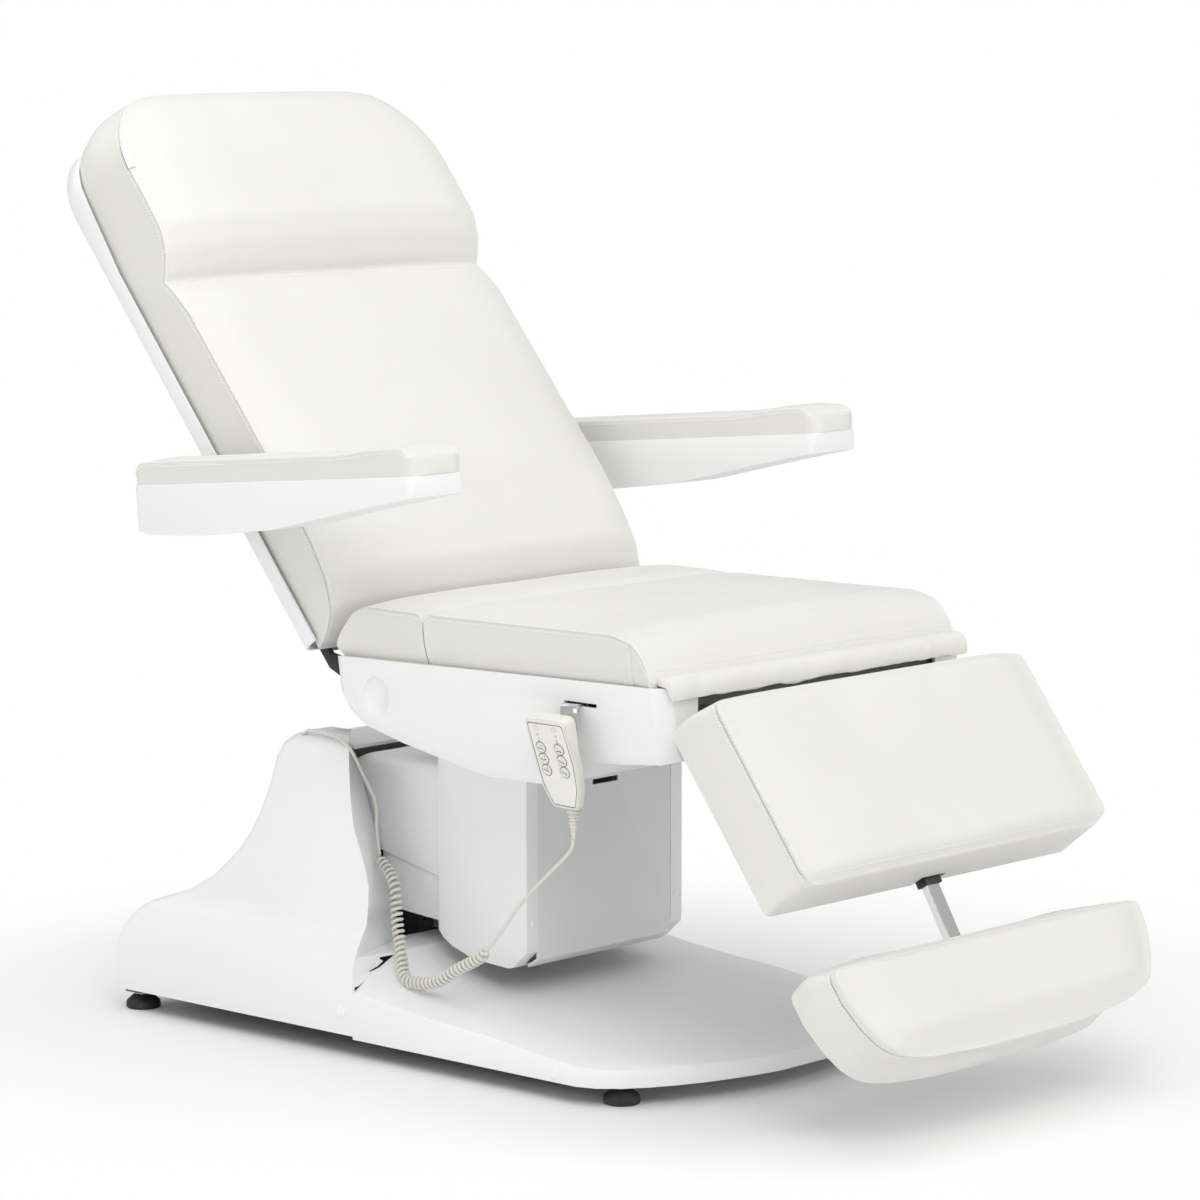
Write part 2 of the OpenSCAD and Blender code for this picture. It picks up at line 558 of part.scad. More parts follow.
// A linear motor that pushes along X: tube, lug on its anchor pin, and the gearbox above or below
module motor(anchor, dir, length, bore, y, up) translate([anchor[0], y, anchor[1]])
    rotate([0, dir > 0 ? 0 : 180, 0])
    difference() {
        union() {
            translate([14, 0, 0]) rotate([0, 90, 0]) cylinder(h = length - 14, r = motor_r);
            translate([30, 0, up * dir * (motor_r + 4)]) rotate([0, 90, 0]) cylinder(h = 70, r = motor_r - 2);
            translate([0, -9, -14]) cube([20, 18, 28]);
            rotate([90, 0, 0]) translate([0, 0, -9]) cylinder(h = 18, r = 14);
        }
        rotate([90, 0, 0]) translate([0, 0, -20]) cylinder(h = 40, r = crank_pin_r + run_gap);
        translate([bore, 0, 0]) rotate([0, 90, 0]) cylinder(h = length, r = rod_r + run_gap);
    }
// The motor's push rod, with a yoke round its pin whose slot stands square to the rod
module push_rod(inside, pin, z, travel, r, y) translate([0, y, 0]) {
    side = pin > inside ? 1 : -1;
    half = r * (1 - cos(travel / 2)) / 2;
    translate([min(inside, pin - side * 11), 0, z]) rotate([0, 90, 0])
        cylinder(h = abs(pin - side * 11 - inside), r = rod_r);
    across(-7, 7) difference() {
        link([pin, z - half], [pin, z + half], crank_pin_r + eye_slack + 6);
        link([pin, z - half], [pin, z + half], crank_pin_r + eye_slack);
    }
}
module lift_motor() color("black") chair() motor(lift_anchor, 1, 133, 6 + rod_r, 0, -1);
module lift_rod() color("silver") chair()
    push_rod(lift_anchor[0] + 20, crank_pin[0], lift_rod_z, lift_travel, crank_len, 0);

// ==== Carriage and seat ====
module carriage_frame() color("dimgray") chair() {
    both_sides() across(car_plate_y, car_plate_y + plate_t)
        polygon([[car_low[0] - 22, car_low[1] - 22], [car_low[0] + 24, car_low[1] - 42],
            [box_front - 8, car_up[1]], [box_front - 7, box_high + 2], [seat_x + 206, seat_rail_low],
            [seat_x + 96, seat_rail_low], [car_up[0] - 70, car_up[1] + 100], [car_up[0] - 22, car_up[1]]]);
    for (p = [car_up, car_low]) rod(p, shaft_r, -car_plate_y - plate_t, car_plate_y + plate_t);
    rod([box_x + 65, box_high - 75], 12, 3 - box_w / 2, box_w / 2 - 3);
    rod([box_x + 138, box_low + 32], 8, 3 - box_w / 2, box_w / 2 - 3);
}
box_side = [[box_x, box_high], [box_x, box_low + 35], [box_x + 8, box_low + 26], [box_x + 25, box_low + 16],
    [box_x + 63, box_low + 4], [box_x + 126, box_low], [box_x + 135, box_low + 3],
        [box_front - 1, box_low + 24],
    [box_front, box_low + 37], [box_front, box_high]];
panel_w = box_w / 2 - 22;
module box_cover() color("whitesmoke") chair() {
    both_sides() {
        across(box_w / 2 - 3, box_w / 2) polygon(box_side);
        across(panel_w, box_w / 2 - 1) polygon([[box_front, box_high], [box_front, box_low + 37],
            [box_front - 1, box_low + 24], [box_front - 24, box_low + 3], [box_front - 33, box_low],
            [box_front - 33, box_low + 3], [box_front - 25, box_low + 6], [box_front - 4, box_low + 25.5],
            [box_front - 3, box_low + 37], [box_front - 3, box_high]]);
    }
    translate([box_x + 116, 1 - box_w / 2, box_low + 1]) cube([16, box_w - 2, 3]);
}
module box_panel() color("gainsboro") chair() difference() {
    across(-panel_w + seat_gap, panel_w - seat_gap) polygon([[box_front - 0.5, box_high - 38],
        [box_front - 0.5, box_low + 12],
        [box_front - 19, box_low], [box_front - 20, box_low + 3], [box_front - 4, box_low + 14],
        [box_front - 4, box_high - 38]]);
    translate([box_front - 5, -24, box_high - 112]) cube([6, 50, 7]);
}
module panel_caps() color("white") chair() both_sides()
    translate([box_front, box_w / 2 - 12, box_low + 62]) rotate([0, 90, 0])
        cylinder(h = 1.6, r1 = 5.5, r2 = 4);

module seat_frame() color("dimgray") chair() {
    both_sides() translate([back_x, seat_rail_y - 15, seat_rail_low]) cube([seat_len - 3, 30, seat_rail_h]);
    for (x = [seat_x + 96, leg_anchor[0] - 15, back_anchor[0] - 15, seat_x + 350, back_x + seat_len - 33])
        translate([x, -seat_rail_y + 15, seat_rail_low]) cube([30, 2 * seat_rail_y - 30, seat_rail_h]);
    motor_lug(back_anchor, back_motor_y);
    motor_lug(leg_anchor, leg_motor_y);
    // Hangers over the front ends of the motors
    translate([seat_x + 102, back_motor_y - 9, back_rod_z + motor_r])
        cube([12, 18, seat_rail_low + 1 - back_rod_z - motor_r]);
    translate([seat_x + 356, leg_motor_y - 9, leg_rod_z + motor_r])
        cube([12, 18, seat_rail_low + 1 - leg_rod_z - motor_r]);
    // Pins that the backrest swings on
    both_sides() {
        across(seat_rail_y + 15, seat_rail_y + 38) translate([back_x, back_z]) circle(22);
        rod([back_x, back_z], hinge_pin_r, seat_rail_y + 38, seat_rail_y + 55);
        // Eyes that the leg rest hangs in
        across(seat_rail_y - 19, seat_rail_y - 11) difference() {
            polygon(concat([[back_x + seat_len - 33, seat_rail_low + 1], [leg_x, leg_z - 11]],
                arc([leg_x, leg_z], 11, -90, 90, 12), [[back_x + seat_len - 33, leg_z + 11]]));
            translate([leg_x, leg_z]) circle(leg_pin_r + run_gap);
        }
    }
}
module motor_lug(p, y) translate([0, y, 0]) {
    both_sides() across(10, 16) polygon(concat([[p[0] - 13, seat_rail_low], [p[0] + 13, seat_rail_low]],
        arc(p, 13, 0, -180, 12)));
    rod(p, crank_pin_r, -16, 16);
}

// Plywood board that the seat cushions lie on
module seat_board() color("tan") chair() translate([shell_rear + 2, 9 - shell_w, seat_rail_top])
    cube([seat_len - 5, 2 * shell_w - 18, rim_z + 1 - seat_rail_top]);

// Underside of the seat shell along its length, and the height of its rim
shell_rear = seat_x + 1;
shell_front = seat_front + 18;
function shell_z(x) = rim_z - 132 + lookup(x - seat_x, [[1, 74], [8, 61], [29, 45], [43, 40], [98, 26],
    [162, 14],
    [237, -1], [349, 0], [385, 17], [420, 37], [533, 44], [559, 52]]);
function shell_rim(x) = rim_z + 11 * (x - shell_rear) / (shell_front - shell_rear);
shell_cut = 18;
function shell_half(x) = shell_w - max(0, x - shell_front + shell_cut) * 1.1;
function shell_ring(x, place, wall, open = 0) =
    let (w = shell_half(x) - wall - open, b = shell_z(x) + wall, rim = wall > 0 ? rim_z + 40 : shell_rim(x),
        lean = 15 * (rim_z - b) / 132)
    [[place, w, rim], [place, w - lean, b + 12], [place, w - lean - 9, b],
        [place, 9 + lean - w, b], [place, lean - w, b + 12], [place, -w, rim]];
// Its rings turn from the rim down and up again, so they are listed from the front to the rear
shell_stations = [for (d = [559, 541, 480, 420, 402, 385, 365, 349, 237, 162, 98, 43, 29, 8, 1]) seat_x + d];
module seat_shell() color("whitesmoke") chair() difference() {
    loft([for (x = shell_stations) shell_ring(x, x, 0)]);
    difference() {
        loft(concat([for (x = shell_stations) shell_ring(x, x - (x > shell_front - 1 ? cover_t : 0),
            cover_t)], [shell_ring(shell_rear, shell_rear - 2, cover_t)]));
        recess_dish(3);
    }
    // The box and the carriage come up through the floor
    translate([shell_rear - 2, -box_w / 2 - 4, rim_z - 140])
        cube([box_front + 4 - shell_rear, box_w + 8, box_high - rim_z + 160]);
    // The leg rest's hinge and its motor's rod pass the front wall
    translate([shell_front - 30, -seat_rail_y - 8, rim_z - 67]) cube([40, 2 * seat_rail_y + 16, 100]);
    translate([seat_x + 398, leg_motor_y - 25, rim_z - 105]) cube([180, 50, 62]);
    // Dished finger recess near the rear, and the slot that the handset's hook comes out of
    recess_dish(0);
    translate([hook_x - 2, -shell_w - 5, hook_z - 1]) cube([hook_w + 26, 20, 5]);
}
// Hollow of the finger recess, or with a wall its backing inside the shell
module recess_dish(wall) translate([seat_x + 64, 4 - shell_w, rim_z - 49]) rotate([0, 18, 0])
    scale([(23 + wall) / 20, (15 + wall) / 20, (30 + wall) / 20]) sphere(20, $fn = 28);

// Lower cushions: height of the seam above the shell's rim along their length
function seat_seam(x) = lookup(x - seat_x, [[-1, 16], [3, 28], [14, 42], [27, 58], [51, seat_pad_t + 1],
    [rear_pad_len - 9, seat_pad_t], [rear_pad_len - 1, seat_pad_t - 9], [rear_pad_len + 2, seat_pad_t - 9],
    [rear_pad_len + 10, seat_pad_t], [seat_len - 66, seat_pad_t + 3], [seat_len - 33, seat_pad_t - 5],
    [seat_len - 16, seat_pad_t - 22], [seat_len - 1, seat_pad_t - 50]]);
function seat_rings(l, z) = [for (d = l) pad_ring(seat_x + d, shell_w - (d > seat_len - 3 ? 4 : 0), z,
    z + seat_seam(seat_x + d),
    seat_crown * (d < 60 ? rise(d, 60) : 1) * (d > seat_len - 70 ? rise(seat_len - d, 70) : 1)
        * (0.4 + 0.6 * rise(abs(d - rear_pad_len), 30)), 6, 6)];
module rear_seat_cushion() color("ivory") chair()
    loft(seat_rings([-1, 3, 14, 27, 51, 90, rear_pad_len - 30, rear_pad_len - 9, rear_pad_len - 1],
        rim_z + 1));
module seat_cushion() color("ivory") chair()
    loft(seat_rings([rear_pad_len + 1, rear_pad_len + 10, rear_pad_len + 32, 300, 400, seat_len - 66,
        seat_len - 45,
        seat_len - 33, seat_len - 24, seat_len - 16, seat_len - 8, seat_len - 1], rim_z + 1));
// Strips of the same hide that close the gaps to the backrest and to the leg rest
module rear_flap() color("ivory") chair() {
    translate([seat_x - 6, 3 - seat_rail_y - 15, seat_rail_low + 6]) cube([4.6, 2 * seat_rail_y + 24, 42]);
    // Wider above the bosses of the hinge
    translate([seat_x - 6, 34 - shell_w, seat_rail_low + 21]) cube([4.6, 2 * shell_w - 68, 27]);
}
module front_flap() color("ivory") chair() across(10 - shell_w, shell_w - 10)
    polygon([[seat_front - 1, rim_z + 22],
    [seat_front - 1, rim_z + 12], [seat_front + 10, rim_z + 15], [seat_front + 22, rim_z + 12],
        [seat_front + 25, rim_z - 4],
    [seat_front + 28, rim_z - 4], [seat_front + 27, rim_z + 12], [seat_front + 23, rim_z + 18],
    [seat_front + 12, rim_z + 23]]);

hook_x = seat_x + 397;
hook_w = 28;
hook_z = rim_z - 22;
module handset_hook() color("silver") chair() translate([hook_x, 0, hook_z]) rotate([90, 0, 90])
    linear_extrude(hook_w)
    polygon(concat([[-286, 0], [-286, -12], [-284, -12], [-284, 2]], arc([-300, -4], 6, 90, 180, 4),
        [[-306, -34], [-309, -36], [-311, -34], [-311, -24], [-313, -24], [-313, -36], [-309, -39],
            [-304, -36],
        [-304, -4], [-300, 0]]));

// ==== Backrest ====
function untilt(v, a) = [v[0] * cos(a) - v[1] * sin(a), v[0] * sin(a) + v[1] * cos(a)];
back_pin_local = untilt(back_pin - [back_x, back_z], back_angle);
back_rail_t = back_shell_t - 3;
frame_low = back_base - back_rail_t;
module back_frame() color("dimgray") on_back() {
    both_sides() {
        translate([back_top + 75, 210, frame_low]) cube([back_len - 85, 40, back_rail_t]);
        // Bracket on the hinge pin
        across(seat_rail_y + 43, seat_rail_y + 51) difference() {
            polygon(concat([[back_end - 10, frame_low], [back_end + 20, frame_low], [-14, -22]],
                arc([0, 0], 20, -90, 110, 16), [[back_end + 6, -20], [back_end - 10, -20]]));
            circle(hinge_pin_r + run_gap);
        }
        translate([back_end - 40, 230, frame_low]) cube([36, seat_rail_y + 51 - 230, back_rail_t]);
        // Pivot pin of the armrest
        rod(rest_pivot, rest_pin_d / 2 - 1.3, 240, 287);
        rod(rest_pivot, rest_pin_d / 2, 286, rest_y + rest_w - 10);
    }
    for (x = [back_top + 75, back_top + 400, back_end - 50])
        translate([x, -210, frame_low]) cube([40, 420, back_rail_t]);
    translate([0, back_motor_y, 0]) {
        both_sides() across(10, 16) polygon(concat([[back_end + 6, -20], [back_end - 30, -20],
            [back_end - 30, frame_low], [back_end - 9, frame_low], [back_end + 6, frame_low - 9]],
            arc(back_pin_local, 13, -102, 78, 12)));
        rod(back_pin_local, crank_pin_r, -16, 16);
    }
}
back_shell_top = back_len - 5;
// Its edge rises round the head end of the cushion
function shell_edge(u) = back_base + 9 + 10 * rise(u - back_len * 0.78, 40) * (1 - rise(u - back_len + 45, 26));
function back_shell_ring(u, x, wall) =
    let (w = corner_w(shell_w + 3, head_r - 22, max(0, back_shell_top - u)) - wall,
        low = back_base - back_shell_t + wall)
    [[x, w, wall > 0 ? 60 : shell_edge(u)], [x, w, low + 10], [x, w - 5, low + 2], [x, w - 16, low],
        [x, 16 - w, low], [x, 5 - w, low + 2], [x, -w, low + 10], [x, -w, wall > 0 ? 60 : shell_edge(u)]];
back_shell_stations = concat([back_shell_gap, 300, 600], [for (e = [108, 80, 57, 40, 25, 13, 6, 0.5])
    back_shell_top - e]);
module back_shell() color("whitesmoke") on_back() difference() {
    loft([for (u = back_shell_stations) back_shell_ring(u, back_end - u, 0)]);
    loft([for (u = back_shell_stations)
        back_shell_ring(u, back_end - u + (u > back_shell_top - 4 ? 3 : 0) + (u < 20 ? 12 : 0), 3)]);
    both_sides() rod(rest_pivot, rest_pin_d / 2 + 0.5, 285, 320);
}
module back_cushion() color("ivory") on_back() loft(back_rings);
module back_motor() color("black") chair() motor(back_anchor, -1, 220, 95, back_motor_y, 1);
module back_rod() color("silver") chair() push_rod(back_anchor[0] - 165, back_pin[0], back_rod_z,
    back_travel[1] - back_travel[0], lug_len, back_motor_y);

// ==== Armrests, from the pivot and the armrest's inner side ====
rest_front = rest_len - rest_behind;
module rest_side(wall) polygon([[wall - rest_behind, rest_top + 2 * wall], [wall - rest_behind, wall - 26],
    [wall - 15, wall - 33], [80, wall - 35.5], [211, wall - 30], [rest_front - 106, wall - 8],
    [rest_front - 6 - wall, wall + 5], [rest_front - wall, rest_top + 2 * wall]]);
module rest_plan(wall) translate([0, 0, -60]) linear_extrude(120) polygon(concat(
    arc([rest_front - 14, rest_w - 14], 14 - wall, 0, 90, 4), arc([12 - rest_behind, rest_w - 12],
        12 - wall, 90, 180, 4),
    arc([12 - rest_behind, 12], 12 - wall, 180, 270, 4), arc([rest_front - 14, 14], 14 - wall, 270, 360, 4)));
module arm_shell() color("whitesmoke") on_rest() difference() {
    union() {
        difference() {
            intersection() {
                across(0, rest_w) rest_side(0);
                rest_plan(0);
            }
            intersection() {
                across(0, rest_w) rest_side(3);
                rest_plan(3);
            }
        }
        across(1, rest_w - 6) circle(rest_pin_d / 2 + 5);
    }
    across(-1, rest_w - 9) circle(rest_pin_d / 2 + run_gap);
}
function rest_seam(x) = 28 + 6 * ease((x - rest_front + 150) / 110);
rest_stations = [0, 3, 9, 20, 60, 250, rest_len - 150, rest_len - 95, rest_len - 60, rest_len - 34,
    rest_len - 18,
    rest_len - 8, rest_len - 2, rest_len];
module arm_pad() color("ivory") on_rest() translate([0, rest_w / 2, 0]) loft([for (d = rest_stations)
    let (e = min(d, rest_len - d), x = d - rest_behind)
    pad_ring(x, corner_w(rest_w / 2 + 0.5, 16, e), rest_top, rest_top + rest_seam(x) - 10 * (1 - rise(e, 20)),
        5 * rise(e, 40), 3, 1)]);
module left_arm_shell() arm_shell();
module left_arm_pad() arm_pad();
module right_arm_shell() mirror([0, 1, 0]) arm_shell();
module right_arm_pad() mirror([0, 1, 0]) arm_pad();

// ==== Leg rest ====
leg_pin_local = untilt(leg_pin - [leg_x, leg_z], leg_angle);
leg_near = 12;
leg_far = leg_near + leg_len;
sleeve_w = bar_w + 10;
sleeve_t = bar_t + 10;
// A flat tube round the bar, and the same shape solid
module flat_bar(x0, x1, more) translate([x0, -bar_w / 2 - more, bar_z - bar_t / 2 - more])
    cube([x1 - x0, bar_w + 2 * more, bar_t + 2 * more]);
module flat_tube(x0, x1, outer, inner) difference() {
    flat_bar(x0, x1, outer);
    flat_bar(x0 - 1, x1 + 1, inner);
}
// Places along the bar: the sleeve's two ends, seen from the footrest
sleeve_out = leg_far - foot_out + 3;
sleeve_in = sleeve_out - leg_len + 30;
module leg_frame() color("dimgray") {
    on_leg() {
        both_sides() {
            translate([leg_near + 8, 185, -13]) cube([leg_len - 20, 30, 10]);
            across(seat_rail_y - 29, seat_rail_y - 21) polygon(concat(arc([0, 0], 9, 20, 260, 12),
                [[leg_near + 10, -21], [leg_near + 42, -13], [leg_near + 42, -3.4], [leg_near - 1, -3.4]]));
            rod([0, 0], leg_pin_r, seat_rail_y - 22, seat_rail_y - 9);
        }
        difference() {
            union() {
                for (x = [leg_near + 34, leg_far - 50]) translate([x, -186, -13]) cube([30, 372, 10]);
                for (x = [leg_near + 40, leg_far - 44]) translate([x, -12, -13])
                    cube([18, 24, x < 100 ? 38 : 24]);
            }
            translate([foot_out, 0, foot_rise]) rotate([0, foot_tilt, 0]) flat_bar(sleeve_in - 1, 0, 4);
        }
        translate([0, leg_motor_y, 0]) {
            both_sides() across(10, 16) polygon(concat([[leg_near + 60, -4], [leg_near + 36, -4]],
                arc(leg_pin_local, 13, 160, 340, 12)));
            rod(leg_pin_local, crank_pin_r, -16, 16);
        }
    }
    on_foot() flat_tube(sleeve_in, sleeve_out - 5, 5, 2);
}
function leg_ring(d) = let (e = min(d, leg_len - d))
    pad_ring(leg_near + d, corner_w(shell_w, 24, e), -3, leg_pad_t - 3 - 7 * (1 - rise(e, 12)),
        18 * rise(e + 14, 36), 10, 1, 0, 2, corner_w(shell_w, 8, e) - corner_w(shell_w, 24, e),
            7 * rise(e + 8, 24));
leg_stations = concat([0, 3, 9, 20, 40, 80], [for (d = [128, 80, 40, 20, 9, 3, 0]) leg_len - d]);
module leg_cushion() color("ivory") difference() {
    on_leg() loft([for (d = leg_stations) leg_ring(d)]);
    on_foot() translate([sleeve_in - 27, -sleeve_w / 2 - 2, -60])
        cube([280, sleeve_w + 4, 60 + bar_z + sleeve_t / 2 + 2]);
}
module bar_sleeve() color("black") on_foot() {
    flat_tube(sleeve_out - 32, sleeve_out + 8, 1.95, 0.2);
    flat_tube(sleeve_out - 4.9, sleeve_out + 8, 3.4, 0.2);
    flat_tube(sleeve_in + 91, sleeve_in + 115, 1.95, 0.2);
}
module leg_motor() color("black") chair() motor(leg_anchor, 1, 205, 80, leg_motor_y, 1);
module leg_rod() color("silver") chair() push_rod(leg_anchor[0] + 107, leg_pin[0] + 0.2, leg_rod_z,
    leg_travel[1] - leg_travel[0], lug_len, leg_motor_y);

// ==== Footrest ====
// The bar reaches the upper bush over the whole of its travel
bar_inner = sleeve_in + 39;
foot_channel = 56;
module foot_bar() color("silver") on_foot() {
    difference() {
        flat_bar(bar_inner, foot_channel - 8, 0);
        flat_bar(bar_inner - 1, foot_channel - 12, -2);
    }
    translate([14, -bar_w / 2, foot_back]) cube([30, bar_w, bar_z - bar_t / 2 - foot_back + 1]);
}
module foot_board() color("whitesmoke") on_foot() translate([0, 0, foot_back - 6]) linear_extrude(6)
    polygon(concat(
    [for (u = foot_stations) [u * 0.97 + 2, foot_w(u) - 9]],
    [for (i = [len(foot_stations) - 1:-1:0]) [foot_stations[i] * 0.97 + 2, 9 - foot_w(foot_stations[i])]]));
module foot_cushion() color("ivory") on_foot() difference() {
    loft(foot_rings);
    translate([-12, -bar_w / 2 - 1, foot_back - 1]) cube([foot_channel + 12, bar_w + 2,
        bar_z + bar_t / 2 + 2 - foot_back]);
}

// ==== Handset: X along its width, Z along its length and -Y out of its face ====
hand_half = hand_w / 2;
hand_top = hand_len / 2;
function hand_outline(inset) = let (r = 8 - inset, top = hand_top - 8, side = hand_half - 8) concat(
    arc([side - 1.5, top], r, 0, 90, 4), arc([4 - side, top], r, 90, 180, 4),
    [[inset - hand_half + 4, 10], [inset - hand_half + 5, 37 - hand_top]],
    arc([21 - hand_half, 13 - hand_top], r, 200, 265, 3), arc([hand_half - 21, 12 - hand_top], r, 275, 335,
        3),
    [[hand_half - 3 - inset, 34 - hand_top], [hand_half + 1.5 - inset, 5]]);
module hand_plate(inset, y0, y1) across(y0, y1) polygon(hand_outline(inset));
tongue_y = -307.8;
module handset_case() color("ivory") {
    on_handset() difference() {
        union() {
            hand_plate(1.5, -hand_t / 2, hand_t / 2);
            hand_plate(0, -hand_t / 2 + 2, hand_t / 2 - 2);
        }
        hand_plate(4, -hand_t / 2 - 1, -hand_t / 2 + 1.2);
        for (b = hand_buttons) across(-hand_t / 2, -hand_t / 2 + 4) translate([b[0], b[1]])
            circle(b[2] / 2 + 0.2);
        // The back slopes towards the cord, so that the handset is thinnest there
        translate([-hand_w, 0, 0]) rotate([90, 0, 90]) linear_extrude(2 * hand_w)
            polygon([[hand_t / 2, hand_top * 0.9], [0.5, 18], [-0.5, -hand_top], [hand_t, -hand_top],
                [hand_t, hand_top * 0.9]]);
    }
    // Tongue that hangs in the hook
    chair() translate([hook_x + 9, 0, hook_z]) {
        translate([0, tongue_y - 20, -23.6]) cube([11, 20, 5]);
        translate([0, tongue_y - 2.2, -32]) cube([11, 2.2, 10]);
    }
}
row_pitch = 15.7;
row_top = 25.5;
// Place and diameter of each button: backrest, leg rest, lift, then the two memories
hand_buttons = [for (row = [0:2], side = [-1, 1]) [0.5 + side * 15, row_top - row * row_pitch, button_d],
    [-15, row_top + 27, 7], [15, row_top + 27, 7]];
module handset_face() color("lightgray") on_handset() difference() {
    hand_plate(4.2, -hand_t / 2 + 0.4, -hand_t / 2 + 1.2);
    for (b = hand_buttons) across(-hand_t / 2 - 1, -hand_t / 2 + 4) translate([b[0], b[1]])
        circle(b[2] / 2 + 0.2);
}
module button(i) color("whitesmoke") on_handset() across(-hand_t / 2 - 0.6, -hand_t / 2 + 3)
    translate([hand_buttons[i][0], hand_buttons[i][1]]) circle(hand_buttons[i][2] / 2, $fn = 32);
module back_up_button() button(0);
module back_down_button() button(1);
module leg_up_button() button(2);
module leg_down_button() button(3);
module lift_up_button() button(4);
module lift_down_button() button(5);
module memory_one_button() button(6);
module memory_two_button() button(7);
module strain_relief() color("ivory") on_handset() translate([8, -5.2, -hand_top + 2.7])
    rotate([-hand_tilt, 0, 0])
    rotate_extrude() polygon(concat([[0, 0], [5, 0], [9.4, -3]],
        [for (i = [0:6]) each [[8.2 - i * 0.8, -4 - i * 4.4], [6.9 - i * 0.6, -5.3 - i * 4.4],
            [6.9 - i * 0.6, -7 - i * 4.4]]],
        [[wire_r + 0.5, -37], [0, -37]]));

// ==== Cord: straight tail from the base, curled length over the covers, straight lead to the handset ====
tail_points = [[289, -208, 384], [289, -208.4, 397], [294, -210, 404.5], [304, -211, 406],
    [320, -211, 405.8], [341, -214, 405.5], [366, -221, 403], [385, -225, 397], [395, -222, 383],
    [398, -207, 353], [401, -190, 319], [400, -187, 285], [405, -187, 250]];
coil_points = [[405, -187, 250], [406.1, -187, 242.3], [431, -195, 228], [451, -204, 210], [462, -212, 175],
    [478, -222, 140], [504, -240, 106], [534, -245, 103], [574, -248, 112], [610, -250, 133],
    [651, -251.6, 154.2], [668, -254, 170]];
lead_points = [[668.06, -254.01, 170.06], [695.2, -257.84, 195.28], [731, -266, 232], [785, -277, 276],
    [835, -293, 311], [855, -299.6, 328], [858, -301.4, 339.4]];
wire_r = wire_d / 2;
function tangent(p, t) = unit(curve(p, min(t + 0.01, len(p) - 1)) - curve(p, max(t - 0.01, 0)));
// Two directions square to a tangent and to one another
function side_of(d) = unit(cross(d, [0, 1, 0]));
function over_of(d) = cross(d, side_of(d));
function wire_ring(c, d, r, n) = let (a = side_of(d), b = over_of(d))
    [for (i = [0:n - 1]) c + r * (cos(360 * i / n) * a + sin(360 * i / n) * b)];
module wire(p, rings) loft([for (i = [0:rings]) let (t = (len(p) - 1) * i / rings)
    wire_ring(curve(p, t), tangent(p, t), wire_r, 8)]);
turns = 46;
curl_r = (curl_d - wire_d) / 2;
// The curl's path: the distance run along it against the share of its points
coil_last = len(coil_points) - 1;
coil_run = [for (i = 0, s = 0; i <= 120; s = s + norm(curve(coil_points, coil_last * min(i + 1, 120) / 120)
    - curve(coil_points, coil_last * i / 120)), i = i + 1) [s, i / 120]];
coil_len = coil_run[120][0];
// Centre of the curled wire; its first and last part are straight and the curl grows from them
coil_ends = (wire_d + 1) / coil_len;
function coil_at(s) =
    let (t = min(1, max(0, (s - coil_ends) / (1 - 2 * coil_ends))),
        u = coil_last * lookup(s * coil_len, coil_run),
        d = tangent(coil_points, u), a = 360 * turns * t,
        r = curl_r * ease(t * turns / 1.2) * ease((1 - t) * turns / 1.2))
    curve(coil_points, u) + r * (cos(a) * side_of(d) + sin(a) * over_of(d));
coil_count = turns * 8;
coil_line = [for (i = [0:coil_count]) coil_at(i / coil_count)];
module cord_coil() color("lightgray") chair() loft([for (i = [0:coil_count])
    wire_ring(coil_line[i], i == 0 ? tangent(coil_points, 0) : i ==
        coil_count ? tangent(coil_points, len(coil_points) - 1)
        : unit(coil_line[i + 1] - coil_line[i - 1]), wire_r, 6)]);
module cord_tail() color("lightgray") chair() wire(tail_points, 44);
module cord_lead() color("lightgray") chair() wire(lead_points, 30);
coil_gap = min([for (i = [10:coil_count - 24], j = [i + 5:i + 14]) norm(coil_line[i] - coil_line[j])])
    - wire_d;
echo(coil_gap = coil_gap, origin_x = origin_x, rear_most = rear_most, foot_most = foot_most);

base_frame();
foot_pads();
foot_studs();
rear_cover();
front_cover();
cover_caps();
arm_shafts();
control_box();
mains_inlet();
cord_gland();
cord_tail();
cord_coil();
lower_arm();
lower_arm_cover();
upper_arm();
upper_arm_cover();
lift_motor();
lift_rod();
carriage_frame();
box_cover();
box_panel();
panel_caps();
seat_frame();
seat_board();
seat_shell();
rear_seat_cushion();
seat_cushion();
rear_flap();
front_flap();
handset_hook();
cord_lead();
back_frame();
back_shell();
back_cushion();
back_motor();
back_rod();
left_arm_shell();
left_arm_pad();
right_arm_shell();
right_arm_pad();
leg_frame();
leg_cushion();
bar_sleeve();
leg_motor();
leg_rod();
foot_bar();
foot_board();
foot_cushion();
handset_case();
handset_face();
strain_relief();
back_up_button();
back_down_button();
leg_up_button();
leg_down_button();
lift_up_button();
lift_down_button();
memory_one_button();
memory_two_button();
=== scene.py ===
import bpy, bmesh, json, math
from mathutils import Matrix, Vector, noise


